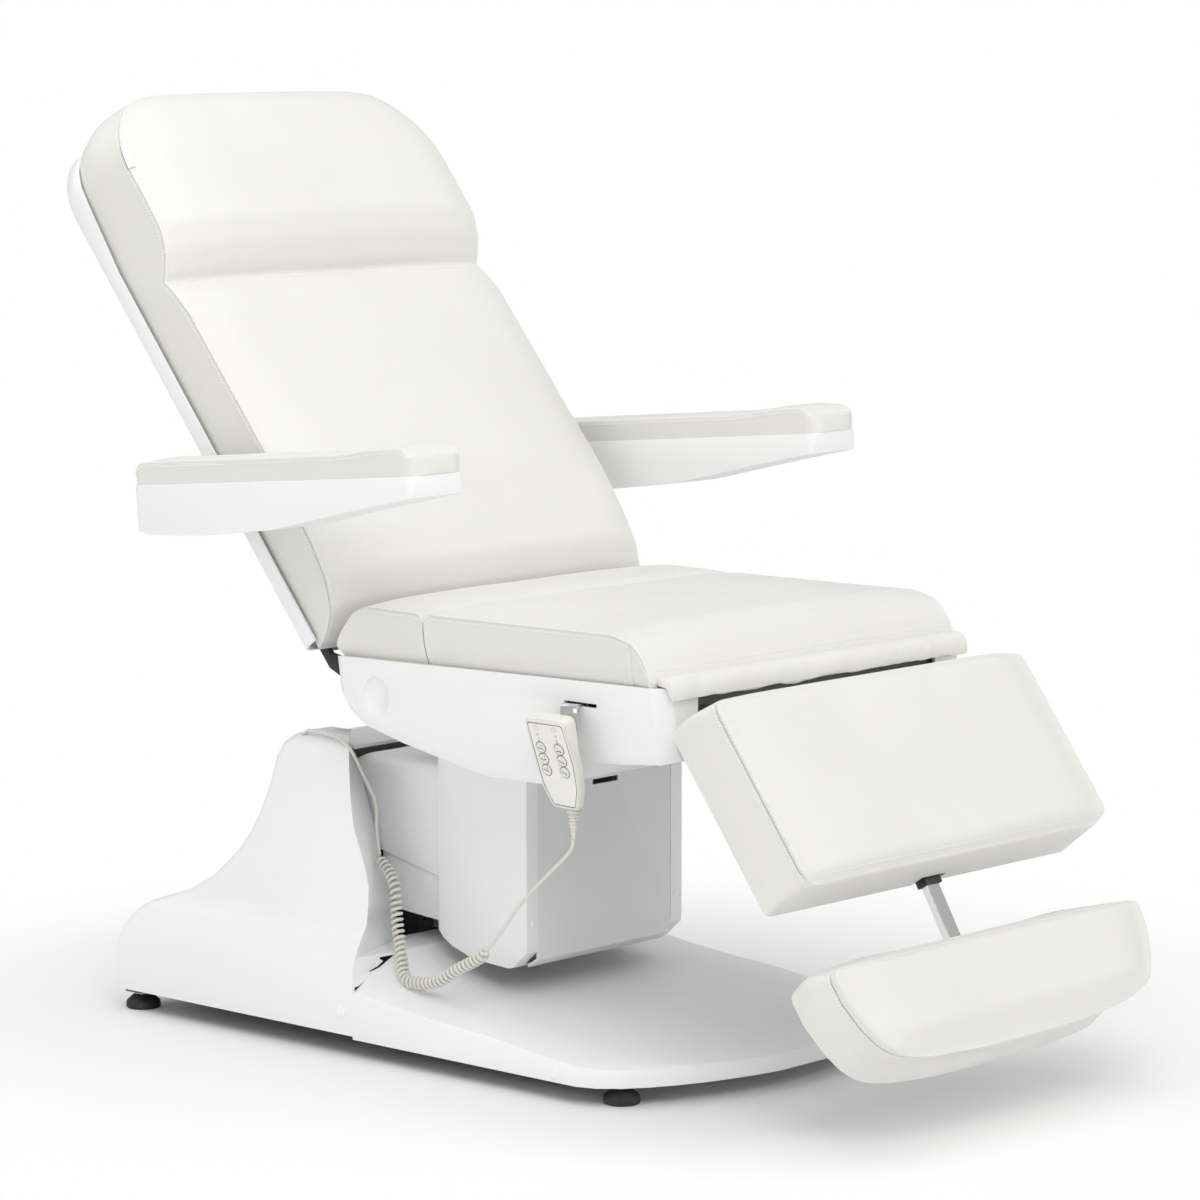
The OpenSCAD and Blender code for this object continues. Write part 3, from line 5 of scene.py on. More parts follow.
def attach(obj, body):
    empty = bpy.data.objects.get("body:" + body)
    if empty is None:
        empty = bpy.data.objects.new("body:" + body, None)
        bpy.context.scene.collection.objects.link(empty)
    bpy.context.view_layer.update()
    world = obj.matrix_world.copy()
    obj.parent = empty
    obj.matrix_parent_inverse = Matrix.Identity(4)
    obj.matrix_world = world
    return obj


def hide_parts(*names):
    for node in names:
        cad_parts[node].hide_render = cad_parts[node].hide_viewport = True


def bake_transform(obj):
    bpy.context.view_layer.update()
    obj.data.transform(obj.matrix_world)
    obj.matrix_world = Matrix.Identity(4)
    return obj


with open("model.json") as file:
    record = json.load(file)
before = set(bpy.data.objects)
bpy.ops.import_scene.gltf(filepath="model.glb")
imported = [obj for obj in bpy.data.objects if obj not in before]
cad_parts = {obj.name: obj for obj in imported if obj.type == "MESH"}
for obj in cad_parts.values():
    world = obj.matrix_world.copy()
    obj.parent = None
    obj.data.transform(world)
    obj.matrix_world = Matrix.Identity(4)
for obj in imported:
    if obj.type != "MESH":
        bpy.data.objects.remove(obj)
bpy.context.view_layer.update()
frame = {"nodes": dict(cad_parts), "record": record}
scene = bpy.context.scene
scene.view_settings.view_transform = "Standard"
record = frame["record"]
bodyOf = {node: body for body, nodes in record["behaviour"]["bodies"].items() for node in nodes}
print("stage: frame loaded")

# each part's own zero, in mm from the rear of the base, and how far it leans, in degrees
mounting = {
    "originX": 615.293,                                     # rear of the base to the frame's origin
    "backrest": {"lean": 51.1, "zero": (452.99, 0, 500)},
    "legRest": {"lean": 53.7, "zero": (1010.99, 0, 500)},
    "footRest": {"lean": 6.3, "zero": (359, 0, 12)},        # measured on the leg rest
    "armRest": {"lean": -56.3, "zero": (-297, 336, -26)},   # measured on the backrest
    "handset": {"lean": 20, "zero": (850, -316, 436)},      # leans sideways
}


def spot(x, y, z):
    # millimetres from the rear of the base into the frame's metres
    return Vector(((x - mounting["originX"]) / 1000, y / 1000, z / 1000))


def mounted(part, x, y, z):
    a = math.radians(mounting[part]["lean"])
    atX, atY, atZ = mounting[part]["zero"]
    return x * math.cos(a) + z * math.sin(a) + atX, y + atY, -x * math.sin(a) + z * math.cos(a) + atZ


def onSeat(x, y, z):
    return spot(x, y, z)


def onBack(x, y, z):
    return spot(*mounted("backrest", x, y, z))


def onLeg(x, y, z):
    return spot(*mounted("legRest", x, y, z))


def onFoot(x, y, z):
    return onLeg(*mounted("footRest", x, y, z))


def onRest(x, y, z, side=1):
    p = onBack(*mounted("armRest", x, y, z))
    return Vector((p.x, side * p.y, p.z))


def onHandset(x, y, z):
    a = math.radians(mounting["handset"]["lean"])
    atX, atY, atZ = mounting["handset"]["zero"]
    return spot(atX + x, atY + y * math.cos(a) - z * math.sin(a), atZ + y * math.sin(a) + z * math.cos(a))


def ease(t):
    # 0 to 1, slow at both ends
    return (1 - math.cos(math.pi * min(1, max(0, t)))) / 2


def rise(e, length):
    return ease(e / length)


def lookup(x, table):
    if x <= table[0][0]:
        return table[0][1]
    for (x0, v0), (x1, v1) in zip(table, table[1:]):
        if x <= x1:
            return v0 + (v1 - v0) * (x - x0) / (x1 - x0)
    return table[-1][1]


def softLookup(x, table, reach):
    # the same table with its corners rounded
    return sum(lookup(x + reach * k / 3, table) for k in (-3, -2, -1, 0, 1, 2, 3)) / 7


def cornerWidth(w, r, e):
    # half width at a distance e from the end of a pad whose corners have the radius r
    return w if e >= r else w - r + math.sqrt(max(0, r * r - (r - max(e, 0)) ** 2))


def catmull(p, t):
    # a smooth line through the points p
    k = min(len(p) - 2, int(math.floor(t)))
    u = t - k
    b, c = p[k], p[k + 1]
    a = p[k - 1] if k > 0 else 2 * b - c
    d = p[k + 2] if k < len(p) - 2 else 2 * c - b
    return (2 * b + (c - a) * u + (2 * a - 5 * b + 4 * c - d) * u * u + (3 * b - a - 3 * c + d) * u ** 3) / 2


def lineLength(line):
    return sum((b - a).length for a, b in zip(line, line[1:]))


def newObject(name, data):
    piece = bpy.data.objects.new(name, data)
    scene.collection.objects.link(piece)
    return piece


def meshObject(name, bm):
    mesh = bpy.data.meshes.new(name)
    bm.to_mesh(mesh)
    bm.free()
    return newObject(name, mesh)


def deselect():
    bpy.ops.object.select_all(action="DESELECT")


def pick(piece):
    deselect()
    piece.select_set(True)
    bpy.context.view_layer.objects.active = piece


def smooth(piece, degrees):
    pick(piece)
    bpy.ops.object.shade_smooth_by_angle(angle=math.radians(degrees))


def smoothAll(piece):
    for polygon in piece.data.polygons:
        polygon.use_smooth = True


def lookAt(thing, place, target):
    thing.location = spot(*place)
    thing.rotation_euler = (spot(*target) - spot(*place)).to_track_quat("-Z", "Y").to_euler()


camera = {"place": (4720.56, -4493.59, 1375.04), "target": (628.84, 0, 588.96), "lens": 140.5, "sensor": 36}
cameraData = bpy.data.cameras.new("camera")
cameraData.lens, cameraData.sensor_width = camera["lens"], camera["sensor"]
cameraData.clip_end = 100
cameraObject = newObject("camera", cameraData)
lookAt(cameraObject, camera["place"], camera["target"])
scene.camera = cameraObject
print("stage: camera")

# one cord from the base to the handset: a straight tail, a curled length and a straight lead
cord = {
    "wire": 4.6, "sides": 10,                       # diameter, and the sides of its section
    "curl": 6.2, "turns": 46, "perTurn": 16,        # radius at the wire's middle, curls, and points in each
    "plain": 1, "opening": 1.2,                     # straight end bits, turns that the curls open over
    "tail": [(289, -208, 384), (289, -208.4, 397), (294, -210, 404.5), (304, -211, 406), (320, -211, 405.8),
             (341, -214, 405.5), (366, -221, 403), (385, -225, 397), (395, -222, 383), (398, -207, 353),
             (401, -190, 319), (400, -187, 285), (405, -187, 250)],
    "coil": [(405, -187, 250), (406.1, -187, 242.3), (431, -195, 228), (451, -204, 210), (462, -212, 175),
             (478, -222, 140), (504, -240, 106), (534, -245, 103), (574, -248, 112), (610, -250, 133),
             (651, -251.6, 154.2), (668, -254, 170)],
    "lead": [(668, -254, 170), (695.2, -257.84, 195.28), (731, -266, 232), (785, -277, 276), (835, -293, 311),
             (855, -299.6, 328), (858, -301.4, 339.4)],
    "tailSteps": 120, "coilSteps": 120, "leadSteps": 70,
    "baseBlend": ((420, -190, 240), (520, -245, 105)), "seatBlend": ((540, -246, 104), (668, -254, 170)),
}


def sampled(key, steps):
    p = [Vector(q) for q in cord[key]]
    return [catmull(p, (len(p) - 1) * i / steps) for i in range(steps + 1)]


def curledPoints():
    p = [Vector(q) for q in cord["coil"]]
    last, steps, turns = len(p) - 1, cord["coilSteps"], cord["turns"]
    line = sampled("coil", steps)
    run = [(0, 0)]
    for i in range(steps):
        run.append((run[-1][0] + (line[i + 1] - line[i]).length, (i + 1) / steps))
    length = run[-1][0]
    plain = (cord["wire"] + cord["plain"]) / length
    count = turns * cord["perTurn"]
    out = []
    for i in range(count + 1):
        s = i / count
        t = min(1, max(0, (s - plain) / (1 - 2 * plain)))
        u = last * lookup(s * length, run)
        along = (catmull(p, min(u + 0.01, last)) - catmull(p, max(u - 0.01, 0))).normalized()
        across = along.cross(Vector((0, 1, 0))).normalized()
        over = along.cross(across)
        a = 2 * math.pi * turns * t
        r = cord["curl"] * ease(t * turns / cord["opening"]) * ease((1 - t) * turns / cord["opening"])
        out.append(catmull(p, u) + r * (math.cos(a) * across + math.sin(a) * over))
    return out


def tube(name, line, radius, sides):
    # a closed tube whose rings are carried along the line without twisting
    bm = bmesh.new()
    normal, rings = None, []
    for i, p in enumerate(line):
        along = (line[min(i + 1, len(line) - 1)] - line[max(i - 1, 0)]).normalized()
        if normal is None:
            normal = along.orthogonal().normalized()
        normal = (normal - along * normal.dot(along)).normalized()
        side = along.cross(normal)
        rings.append([bm.verts.new(p + radius * (math.cos(a) * normal + math.sin(a) * side))
                      for a in (2 * math.pi * k / sides for k in range(sides))])
    for a, b in zip(rings, rings[1:]):
        for k in range(sides):
            bm.faces.new((a[k], a[(k + 1) % sides], b[(k + 1) % sides], b[k]))
    bm.faces.new(list(reversed(rings[0])))
    bm.faces.new(rings[-1])
    piece = meshObject(name, bm)
    smoothAll(piece)
    return piece


curl = curledPoints()
half = (cord["turns"] // 2) * cord["perTurn"]
firstLine = [spot(*p) for p in sampled("tail", cord["tailSteps"])[:-1] + curl[:half + 1]]
secondLine = [spot(*p) for p in curl[half:] + sampled("lead", cord["leadSteps"])[1:]]
cordPieces = []
for name, line, nodes in (("cordFromBase", firstLine, ("cord_tail", "cord_coil")),
                          ("cordToHandset", secondLine, ("cord_lead",))):
    piece = tube(name, line, cord["wire"] / 2000, cord["sides"])
    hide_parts(*nodes)
    cordPieces.append(piece)
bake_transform(cordPieces[0])
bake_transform(cordPieces[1])
print("stage: cord", round(lineLength(firstLine) + lineLength(secondLine), 3), "m of wire")


def material(name, color, roughness, metallic=0.0):
    # color and roughness are the plain start that a finish is built on
    mat = bpy.data.materials.new(name)
    mat.use_nodes = True
    shader = mat.node_tree.nodes["Principled BSDF"]
    shader.inputs["Base Color"].default_value = (*color, 1)
    shader.inputs["Roughness"].default_value = roughness
    shader.inputs["Metallic"].default_value = metallic
    return mat, mat.node_tree.nodes, mat.node_tree.links, shader


def noiseNode(nodes, links, source, scale, detail=3.0, rough=0.5, stretch=None):
    tex = nodes.new("ShaderNodeTexNoise")
    tex.inputs["Scale"].default_value = scale
    tex.inputs["Detail"].default_value = detail
    tex.inputs["Roughness"].default_value = rough
    if stretch:
        mapping = nodes.new("ShaderNodeMapping")
        mapping.inputs["Scale"].default_value = stretch
        links.new(source, mapping.inputs["Vector"])
        source = mapping.outputs["Vector"]
    links.new(source, tex.inputs["Vector"])
    return tex.outputs["Fac"]


def ramp(nodes, links, source, stops):
    node = nodes.new("ShaderNodeValToRGB")
    while len(node.color_ramp.elements) < len(stops):
        node.color_ramp.elements.new(0.5)
    for element, (place, value) in zip(node.color_ramp.elements, stops):
        element.position = place
        element.color = (*value, 1) if isinstance(value, tuple) else (value, value, value, 1)
    links.new(source, node.inputs["Fac"])
    return node.outputs["Color"]


def addBump(nodes, links, shader, layers):
    # each layer is a height, its depth in metres and its strength
    last = None
    for height, distance, strength in layers:
        bump = nodes.new("ShaderNodeBump")
        bump.inputs["Distance"].default_value = distance
        bump.inputs["Strength"].default_value = strength
        links.new(height, bump.inputs["Height"])
        if last is not None:
            links.new(last, bump.inputs["Normal"])
        last = bump.outputs["Normal"]
    links.new(last, shader.inputs["Normal"])


def objectCoordinates(nodes):
    return nodes.new("ShaderNodeTexCoord").outputs["Object"]


def wovenThread(name, color, roughness, scale, strength):
    # fine even twist
    mat, nodes, links, shader = material(name, color, roughness)
    twist = nodes.new("ShaderNodeTexWave")
    twist.inputs["Scale"].default_value = scale
    links.new(objectCoordinates(nodes), twist.inputs["Vector"])
    addBump(nodes, links, shader, [(twist.outputs["Fac"], 0.0001, strength)])
    return mat


def fauxLeather(name, pale, shade, grain, gloss):
    # pebbled hide: fine cells, shallow creases, a faint change of tone
    mat, nodes, links, shader = material(name, pale, gloss)
    place = objectCoordinates(nodes)
    tone = noiseNode(nodes, links, place, 5, 4, 0.55)
    links.new(ramp(nodes, links, tone, [(0.3, shade), (0.62, pale)]), shader.inputs["Base Color"])
    cells = nodes.new("ShaderNodeTexVoronoi")
    cells.feature = "SMOOTH_F1"
    cells.inputs["Scale"].default_value = grain
    links.new(place, cells.inputs["Vector"])
    creases = noiseNode(nodes, links, place, 55, 5, 0.6)
    fine = noiseNode(nodes, links, place, 2400, 2, 0.5)
    worn = ramp(nodes, links, creases, [(0.35, gloss + 0.07), (0.65, gloss - 0.04)])
    links.new(worn, shader.inputs["Roughness"])
    addBump(nodes, links, shader, [(creases, 0.0012, 0.22), (cells.outputs["Distance"], 0.00035, 0.35),
                                   (fine, 0.00008, 0.3)])
    shader.inputs["Coat Weight"].default_value = 0.12
    shader.inputs["Coat Roughness"].default_value = 0.4
    shader.inputs["Sheen Weight"].default_value = 0.05
    return mat


def mouldedPlastic(name, pale, shade, gloss, orange=380, depth=0.00012):
    # moulded skin: orange peel, slight waviness of the wall, tone that drifts a little
    mat, nodes, links, shader = material(name, pale, gloss)
    place = objectCoordinates(nodes)
    drift = noiseNode(nodes, links, place, 3, 3, 0.5)
    links.new(ramp(nodes, links, drift, [(0.32, shade), (0.6, pale)]), shader.inputs["Base Color"])
    peel = noiseNode(nodes, links, place, orange, 2, 0.5)
    wave = noiseNode(nodes, links, place, 9, 1, 0.4)
    smear = noiseNode(nodes, links, place, 38, 5, 0.7, (1, 1, 0.35))
    handled = ramp(nodes, links, smear, [(0.35, gloss + 0.06), (0.7, gloss - 0.05)])
    links.new(handled, shader.inputs["Roughness"])
    addBump(nodes, links, shader, [(wave, 0.0016, 0.12), (peel, depth, 0.4)])
    return mat


def paintedSteel(name, color, gloss):
    # powder coat with its pebbled skin
    mat, nodes, links, shader = material(name, color, gloss)
    place = objectCoordinates(nodes)
    grit = noiseNode(nodes, links, place, 700, 2, 0.6)
    patch = noiseNode(nodes, links, place, 14, 4, 0.6)
    darker = tuple(c * 0.8 for c in color)
    links.new(ramp(nodes, links, patch, [(0.35, darker), (0.65, color)]), shader.inputs["Base Color"])
    addBump(nodes, links, shader, [(grit, 0.0002, 0.5)])
    return mat


def brightMetal(name, color, gloss, brushed):
    # plated, or turned with fine lines
    mat, nodes, links, shader = material(name, color, gloss, 1.0)
    place = objectCoordinates(nodes)
    lines = noiseNode(nodes, links, place, 90, 3, 0.6, (1, 14, 1) if brushed else (4, 4, 4))
    polish = ramp(nodes, links, lines, [(0.3, gloss * 0.7), (0.75, gloss * 1.5)])
    links.new(polish, shader.inputs["Roughness"])
    addBump(nodes, links, shader, [(lines, 0.00004, 0.35)])
    return mat


def rubber(name, color):
    # matt, with a pale bloom in patches
    mat, nodes, links, shader = material(name, color, 0.62)
    place = objectCoordinates(nodes)
    speck = noiseNode(nodes, links, place, 900, 3, 0.6)
    bloom = noiseNode(nodes, links, place, 30, 4, 0.6)
    links.new(ramp(nodes, links, bloom, [(0.4, color), (0.75, tuple(c * 2.2 + 0.01 for c in color))]),
              shader.inputs["Base Color"])
    addBump(nodes, links, shader, [(speck, 0.0002, 0.5)])
    return mat


def boardWood(name):
    # pale face veneer with its figure along the board
    mat, nodes, links, shader = material(name, (0.66, 0.6, 0.52), 0.6)
    place = objectCoordinates(nodes)
    figure = noiseNode(nodes, links, place, 22, 6, 0.65, (1, 9, 9))
    links.new(ramp(nodes, links, figure, [(0.3, (0.55, 0.49, 0.41)), (0.55, (0.66, 0.6, 0.52)),
                                          (0.75, (0.72, 0.67, 0.6))]), shader.inputs["Base Color"])
    addBump(nodes, links, shader, [(figure, 0.0004, 0.5)])
    return mat


hide = fauxLeather("fauxLeather", (0.79, 0.782, 0.745), (0.765, 0.757, 0.718), 850, 0.44)
thread = wovenThread("thread", (0.95, 0.945, 0.92), 0.6, 900, 0.6)
tagCloth = wovenThread("tagCloth", (0.9, 0.9, 0.89), 0.75, 700, 0.5)
satin = mouldedPlastic("satinShell", (0.91, 0.913, 0.917), (0.893, 0.897, 0.902), 0.34)
panelSkin = mouldedPlastic("panelSkin", (0.80, 0.805, 0.81), (0.775, 0.78, 0.785), 0.42)
deckSkin = mouldedPlastic("deckSkin", (0.92, 0.923, 0.927), (0.9, 0.904, 0.908), 0.42, 520, 0.00025)
handsetSkin = mouldedPlastic("handsetSkin", (0.80, 0.785, 0.73), (0.775, 0.76, 0.70), 0.4, 700, 0.0001)
faceFilm = mouldedPlastic("faceFilm", (0.86, 0.85, 0.80), (0.84, 0.83, 0.78), 0.3, 900, 0.00005)
cordSkin = mouldedPlastic("cordSkin", (0.74, 0.725, 0.665), (0.70, 0.685, 0.62), 0.38, 900, 0.00006)
capSkin = mouldedPlastic("capSkin", (0.95, 0.95, 0.95), (0.94, 0.94, 0.94), 0.25)
markInk = mouldedPlastic("printedMark", (0.16, 0.16, 0.165), (0.13, 0.13, 0.135), 0.5)
coated = paintedSteel("coatedSteel", (0.12, 0.122, 0.126), 0.5)
blackCoated = paintedSteel("blackSteel", (0.018, 0.018, 0.019), 0.45)
blackPlastic = mouldedPlastic("blackPlastic", (0.03, 0.03, 0.032), (0.022, 0.022, 0.024), 0.42)
chrome = brightMetal("chromePlate", (0.7, 0.7, 0.71), 0.1, False)
steel = brightMetal("turnedSteel", (0.62, 0.62, 0.63), 0.28, True)
tread = rubber("blackRubber", (0.018, 0.018, 0.018))
ply = boardWood("plywood")


def dressWith(piece, mat):
    piece.data.materials.clear()
    piece.data.materials.append(mat)


for piece in cordPieces:
    dressWith(piece, cordSkin)
print("stage: finishes")

# what every pad has: its sewn edge, the rows beside it, and the folds of its hide
sewing = {
    "turnIn": 1.5,                                  # from the seam to where the hide turns in
    "grooveIn": 2.1, "grooveDown": 2.0,             # the seam's groove
    "topRow": 4.4, "wallRow": 4.8,                  # rows of stitches, from the seam
    "wallSteps": 12, "topSteps": 30, "topKept": 28,
    "gatherFrom": 4, "gatherTo": 20,                # hide gathers between these distances from the seam
    "billow": 0.9, "billowFrom": 60,
    "brow": 0.988,                                  # share of the half width where the top starts to crown
    "caps": [(0.985, 0.25), (0.93, 0.6), (0.8, 0.9), (0.5, 1)],     # an end's rings: share of size, fullness
    "pitch": 4.8, "stitch": 3.3, "thread": 0.62,    # spacing, length and radius of a stitch
    "smoothAngle": 42,
}


def walk(line, distance):
    for a, b in zip(line, line[1:]):
        step = (b - a).length
        if distance <= step:
            return a.lerp(b, distance / step if step else 0)
        distance -= step
    return line[-1].copy()


def padSection(pad, x, w, seamUp, crown, sink, seed=None, back=0, swell=0, flare=0, puff=0, pinch=0.0):
    # one section across a pad: side wall, seam with its groove, crowned top, and the same again mirrored.
    # w is the half width at the seam; the wall is drawn in, may swell or flare, and starts back along the pad
    bottom, power, drawn, pucker = pad["under"], pad["squareness"], pad["drawnIn"], pad["pucker"]
    seed = pad["seed"] if seed is None else seed
    low = w - 2 * drawn + flare
    side = w - 0.5 * drawn + max(swell / 2, flare)
    brow = sewing["brow"] * w + 0.45 * puff
    lift = max(puff, crown * (1 - sewing["brow"] ** power))
    wall = [Vector((x + back, low, bottom)),
            Vector((x + back / 2 - swell, side, bottom + 0.5 * (seamUp - bottom))),
            Vector((x, w, seamUp))]
    top = [Vector((x, w, seamUp)), Vector((x, brow, seamUp + lift))]
    for k in range(1, 6):
        t = math.cos(math.radians(18 * k))
        top.append(Vector((x, w * t, seamUp + max(crown * (1 - abs(t) ** power), min(crown, 1.1 * lift)))))
    wallLine = [catmull(wall, 2 * i / sewing["wallSteps"]) for i in range(sewing["wallSteps"] + 1)]
    topLine = [catmull(top, 6 * i / sewing["topSteps"]) for i in range(sewing["topSteps"] + 1)]
    wallDown = list(reversed(wallLine))
    out = {"topRow": [], "wallRow": [], "wall": [], "seam": []}
    halves = []
    for sign in (1, -1):
        mirrored = Vector((1, sign, 1))
        wobble = noise.noise(Vector((x * 0.05, sign * 3.7, seed)))
        line = []
        for p in topLine:
            d = (p - topLine[0]).length
            gather = pucker * (0.5 + wobble) * math.exp(-d / sewing["gatherTo"]) \
                * (1 - math.exp(-d / sewing["gatherFrom"]))
            fold = noise.noise(Vector((x * 0.009, sign * p.y * 0.009, seed + 5)))
            billow = sewing["billow"] * fold * min(1, d / sewing["billowFrom"]) * sink
            line.append(Vector((p.x, p.y, p.z - gather + billow)))
        seam = line[0]
        inner = walk(line, sewing["turnIn"])
        outer = walk(wallDown, sewing["turnIn"])
        groove = Vector((seam.x, seam.y - sewing["grooveIn"] * sink, seam.z - sewing["grooveDown"] * sink))
        rest = [p for p in line[1:] if (p - seam).length > 2.4]
        while len(rest) < sewing["topKept"]:
            rest.insert(0, inner.lerp(rest[0], 0.5))
        rest = rest[-sewing["topKept"]:]
        wallSide = [Vector((p.x, p.y - pinch, p.z)) for p in wallLine[:-1]]
        halves.append(wallSide + [outer, groove, inner] + rest)
        out["topRow"].append(mirrored * walk(line, sewing["topRow"]))
        out["wallRow"].append(mirrored * (walk(wallDown, sewing["wallRow"]) + Vector((0, 0.3, 0))))
        out["wall"].append([Vector((p.x, sign * (p.y - pinch + 0.25), p.z)) for p in wallLine])
        out["seam"].append(mirrored * seam)
    right, left = halves[0], [Vector((p.x, -p.y, p.z)) for p in reversed(halves[1])]
    floorLine = [Vector((x + back, -low + 2 * low * k / 4, bottom)) for k in (1, 2, 3)]
    out["points"] = right + left[1:] + floorLine
    out["topRange"] = (14, len(right) + len(left) - 16)
    return out


def skin(name, sections, place, bulge):
    # closes the sections into one soft solid, with slightly filled ends
    bm = bmesh.new()
    loops = [[bm.verts.new(place(*p)) for p in section["points"]] for section in sections]
    n = len(loops[0])
    for a, b in zip(loops, loops[1:]):
        for k in range(n):
            bm.faces.new((a[k], b[k], b[(k + 1) % n], a[(k + 1) % n]))
    for end, sign in ((0, -1), (-1, 1)):
        p, loop, fullness = sections[end]["points"], loops[end], bulge[end]
        middle = Vector((sum(q.x for q in p) / n, 0, (min(q.z for q in p) + max(q.z for q in p)) / 2))
        last = loop
        for share, full in sewing["caps"]:
            shift = Vector((sign * fullness * full, 0, 0))
            inner = [bm.verts.new(place(*(middle.lerp(q, share) + shift))) for q in p]
            for k in range(n):
                face = (last[k], last[(k + 1) % n], inner[(k + 1) % n], inner[k])
                bm.faces.new(face if sign < 0 else tuple(reversed(face)))
            last = inner
        hub = bm.verts.new(place(*(middle + Vector((sign * fullness, 0, 0)))))
        for k in range(n):
            face = (last[k], last[(k + 1) % n], hub)
            bm.faces.new(face if sign < 0 else tuple(reversed(face)))
    bmesh.ops.remove_doubles(bm, verts=bm.verts, dist=1e-6)
    bmesh.ops.recalc_face_normals(bm, faces=bm.faces)
    piece = meshObject(name, bm)
    smooth(piece, sewing["smoothAngle"])
    return piece


def addStitch(bm, a, b):
    # a short five-sided thread with tapered ends
    along = b - a
    if along.length < 1e-6:
        return
    along.normalize()
    u = along.orthogonal().normalized()
    v = along.cross(u)
    thick, taper = sewing["thread"], 0.0006
    rings = []
    for p, r in ((a, thick / 2), (a + along * taper, thick), (b - along * taper, thick), (b, thick / 2)):
        rings.append([bm.verts.new(p + r / 1000 * (math.cos(t) * u + math.sin(t) * v))
                      for t in (0, 1.2566, 2.5133, 3.7699, 5.0265)])
    for e, f in zip(rings, rings[1:]):
        for j in range(5):
            bm.faces.new((e[j], e[(j + 1) % 5], f[(j + 1) % 5], f[j]))
    bm.faces.new(list(reversed(rings[0])))
    bm.faces.new(rings[-1])


def stitches(name, lines, body):
    # threads laid end to end along each line
    bm = bmesh.new()
    for line in lines:
        distances = [0]
        for a, b in zip(line, line[1:]):
            distances.append(distances[-1] + (b - a).length * 1000)
        k = 0
        for i in range(int(lineLength(line) * 1000 / sewing["pitch"])):
            pair = []
            for s in (i * sewing["pitch"], i * sewing["pitch"] + sewing["stitch"]):
                while k < len(line) - 2 and distances[k + 1] < s:
                    k += 1
                step = distances[k + 1] - distances[k]
                pair.append(line[k].lerp(line[k + 1], (s - distances[k]) / step if step else 0))
            addStitch(bm, *pair)
    piece = meshObject(name, bm)
    smoothAll(piece)
    dressWith(piece, thread)
    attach(piece, body)


def stations(length, step, ends):
    # distances along a pad, closer together at its ends
    near = [0, 0.7, 1.6, 3, 5, 7, 9.5, 12.5, 16, 20, 24.5, 29.5, 35, 41, 48]
    near = [d for d in near if d < min(ends, length / 2)]
    inside = max(2, int((length - 2 * near[-1]) / step))
    middle = [near[-1] + (length - 2 * near[-1]) * i / inside for i in range(1, inside)]
    return near + middle + [length - d for d in reversed(near)]


def padStations(pad):
    return stations(pad["length"], pad["step"], pad["denseEnds"])


def softPiece(piece, body, node):
    dressWith(piece, hide)
    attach(piece, body)
    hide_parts(node)


def upholster(name, sections, place, body, node, bulge=(0, 0), across=(), topRows=(True, True),
              wallRows=(True, True)):
    # the pad and its rows of stitches; topRows and wallRows say which ends have a row on the top and below it
    piece = skin(name, sections, place, bulge)
    softPiece(piece, body, node)
    lines = [[place(*section[key][side]) for section in sections[3:-3]] for key in ("topRow", "wallRow")
             for side in (0, 1)]
    for end, inward, outward in ((0, 5, -1), (-1, -6, 1)):
        first, last = sections[end]["topRange"]
        if topRows[end]:
            points = sections[inward]["points"][first + 3:last - 3]
            lines.append([place(*(p + Vector((0, 0, 0.15)))) for p in points])
        if wallRows[end]:
            shift = Vector((bulge[end] * 0.5 * outward, 0, -7))
            lines.append([place(*(p + shift)) for p in sections[end]["points"][first + 3:last - 3]])
    stitches(name + "Stitches", lines + list(across), body)
    return piece


# backrest: flat panel, deep crease, raised head section with round corners
backPad = {
    "length": 822, "halfWidth": 300, "under": -17, "gap": 56, "round": 130, "roundBelow": 112,
    "squareness": 6, "drawnIn": 3, "pucker": 1.3, "seed": 2.0, "step": 6, "denseEnds": 50,
    "crease": 540, "creaseRow": 529, "fill": 0.8,
    # distance up the backrest, height of the seam and of the crown over it
    "seam": [(0, 14), (8, 35), (25, 56), (60, 72), (110, 80), (180, 85), (478, 83), (508, 79), (534, 72),
             (540, 70), (546, 78), (568, 98), (598, 110), (648, 112), (810, 112), (822, 104)],
    "crown": [(0, 3), (25, 18), (60, 28), (180, 32), (478, 26), (508, 20), (534, 11), (540, 8), (546, 14),
              (568, 20), (598, 26), (752, 28), (796, 20), (822, 4)],
    "nearCrease": (-15, -12, -9.5, -7.5, -6, -4.5, -3.2, -2.2, -1.2, -0.4, 0.4, 1.2, 2.2, 3.2, 4.5, 6, 8, 10.5,
                   13, 15),
}


def backSection(u):
    v = backPad
    e = v["length"] - u
    soft = min(2 if abs(u - v["crease"]) < 14 else 5, u * 0.6, e * 0.6)
    w = cornerWidth(v["halfWidth"], v["round"], e)
    return padSection(v, -v["gap"] - u, w, v["under"] + softLookup(u, v["seam"], soft),
                      softLookup(u, v["crown"], soft), min(1, e / 20, (u + 2) / 12),
                      back=13 * (1 - rise(e, 44)), swell=11 * (1 - rise(e, 130)),
                      flare=cornerWidth(v["halfWidth"], v["roundBelow"], e) - w)


backStations = [d for d in padStations(backPad) if abs(d - backPad["crease"]) > 16]
backStations = sorted(set(backStations + [backPad["crease"] + k for k in backPad["nearCrease"]]))
creaseSection = backSection(backPad["creaseRow"])
creasePoints = creaseSection["points"][17:creaseSection["topRange"][1] - 3]
creaseLine = [onBack(*(p + Vector((0, 0, 0.2)))) for p in creasePoints]
upholster("backrestUpholstery", [backSection(u) for u in backStations], onBack, "backrest", "back_cushion",
          (0, 3), [creaseLine], (False, True), (False, True))
print("stage: backrest pad")

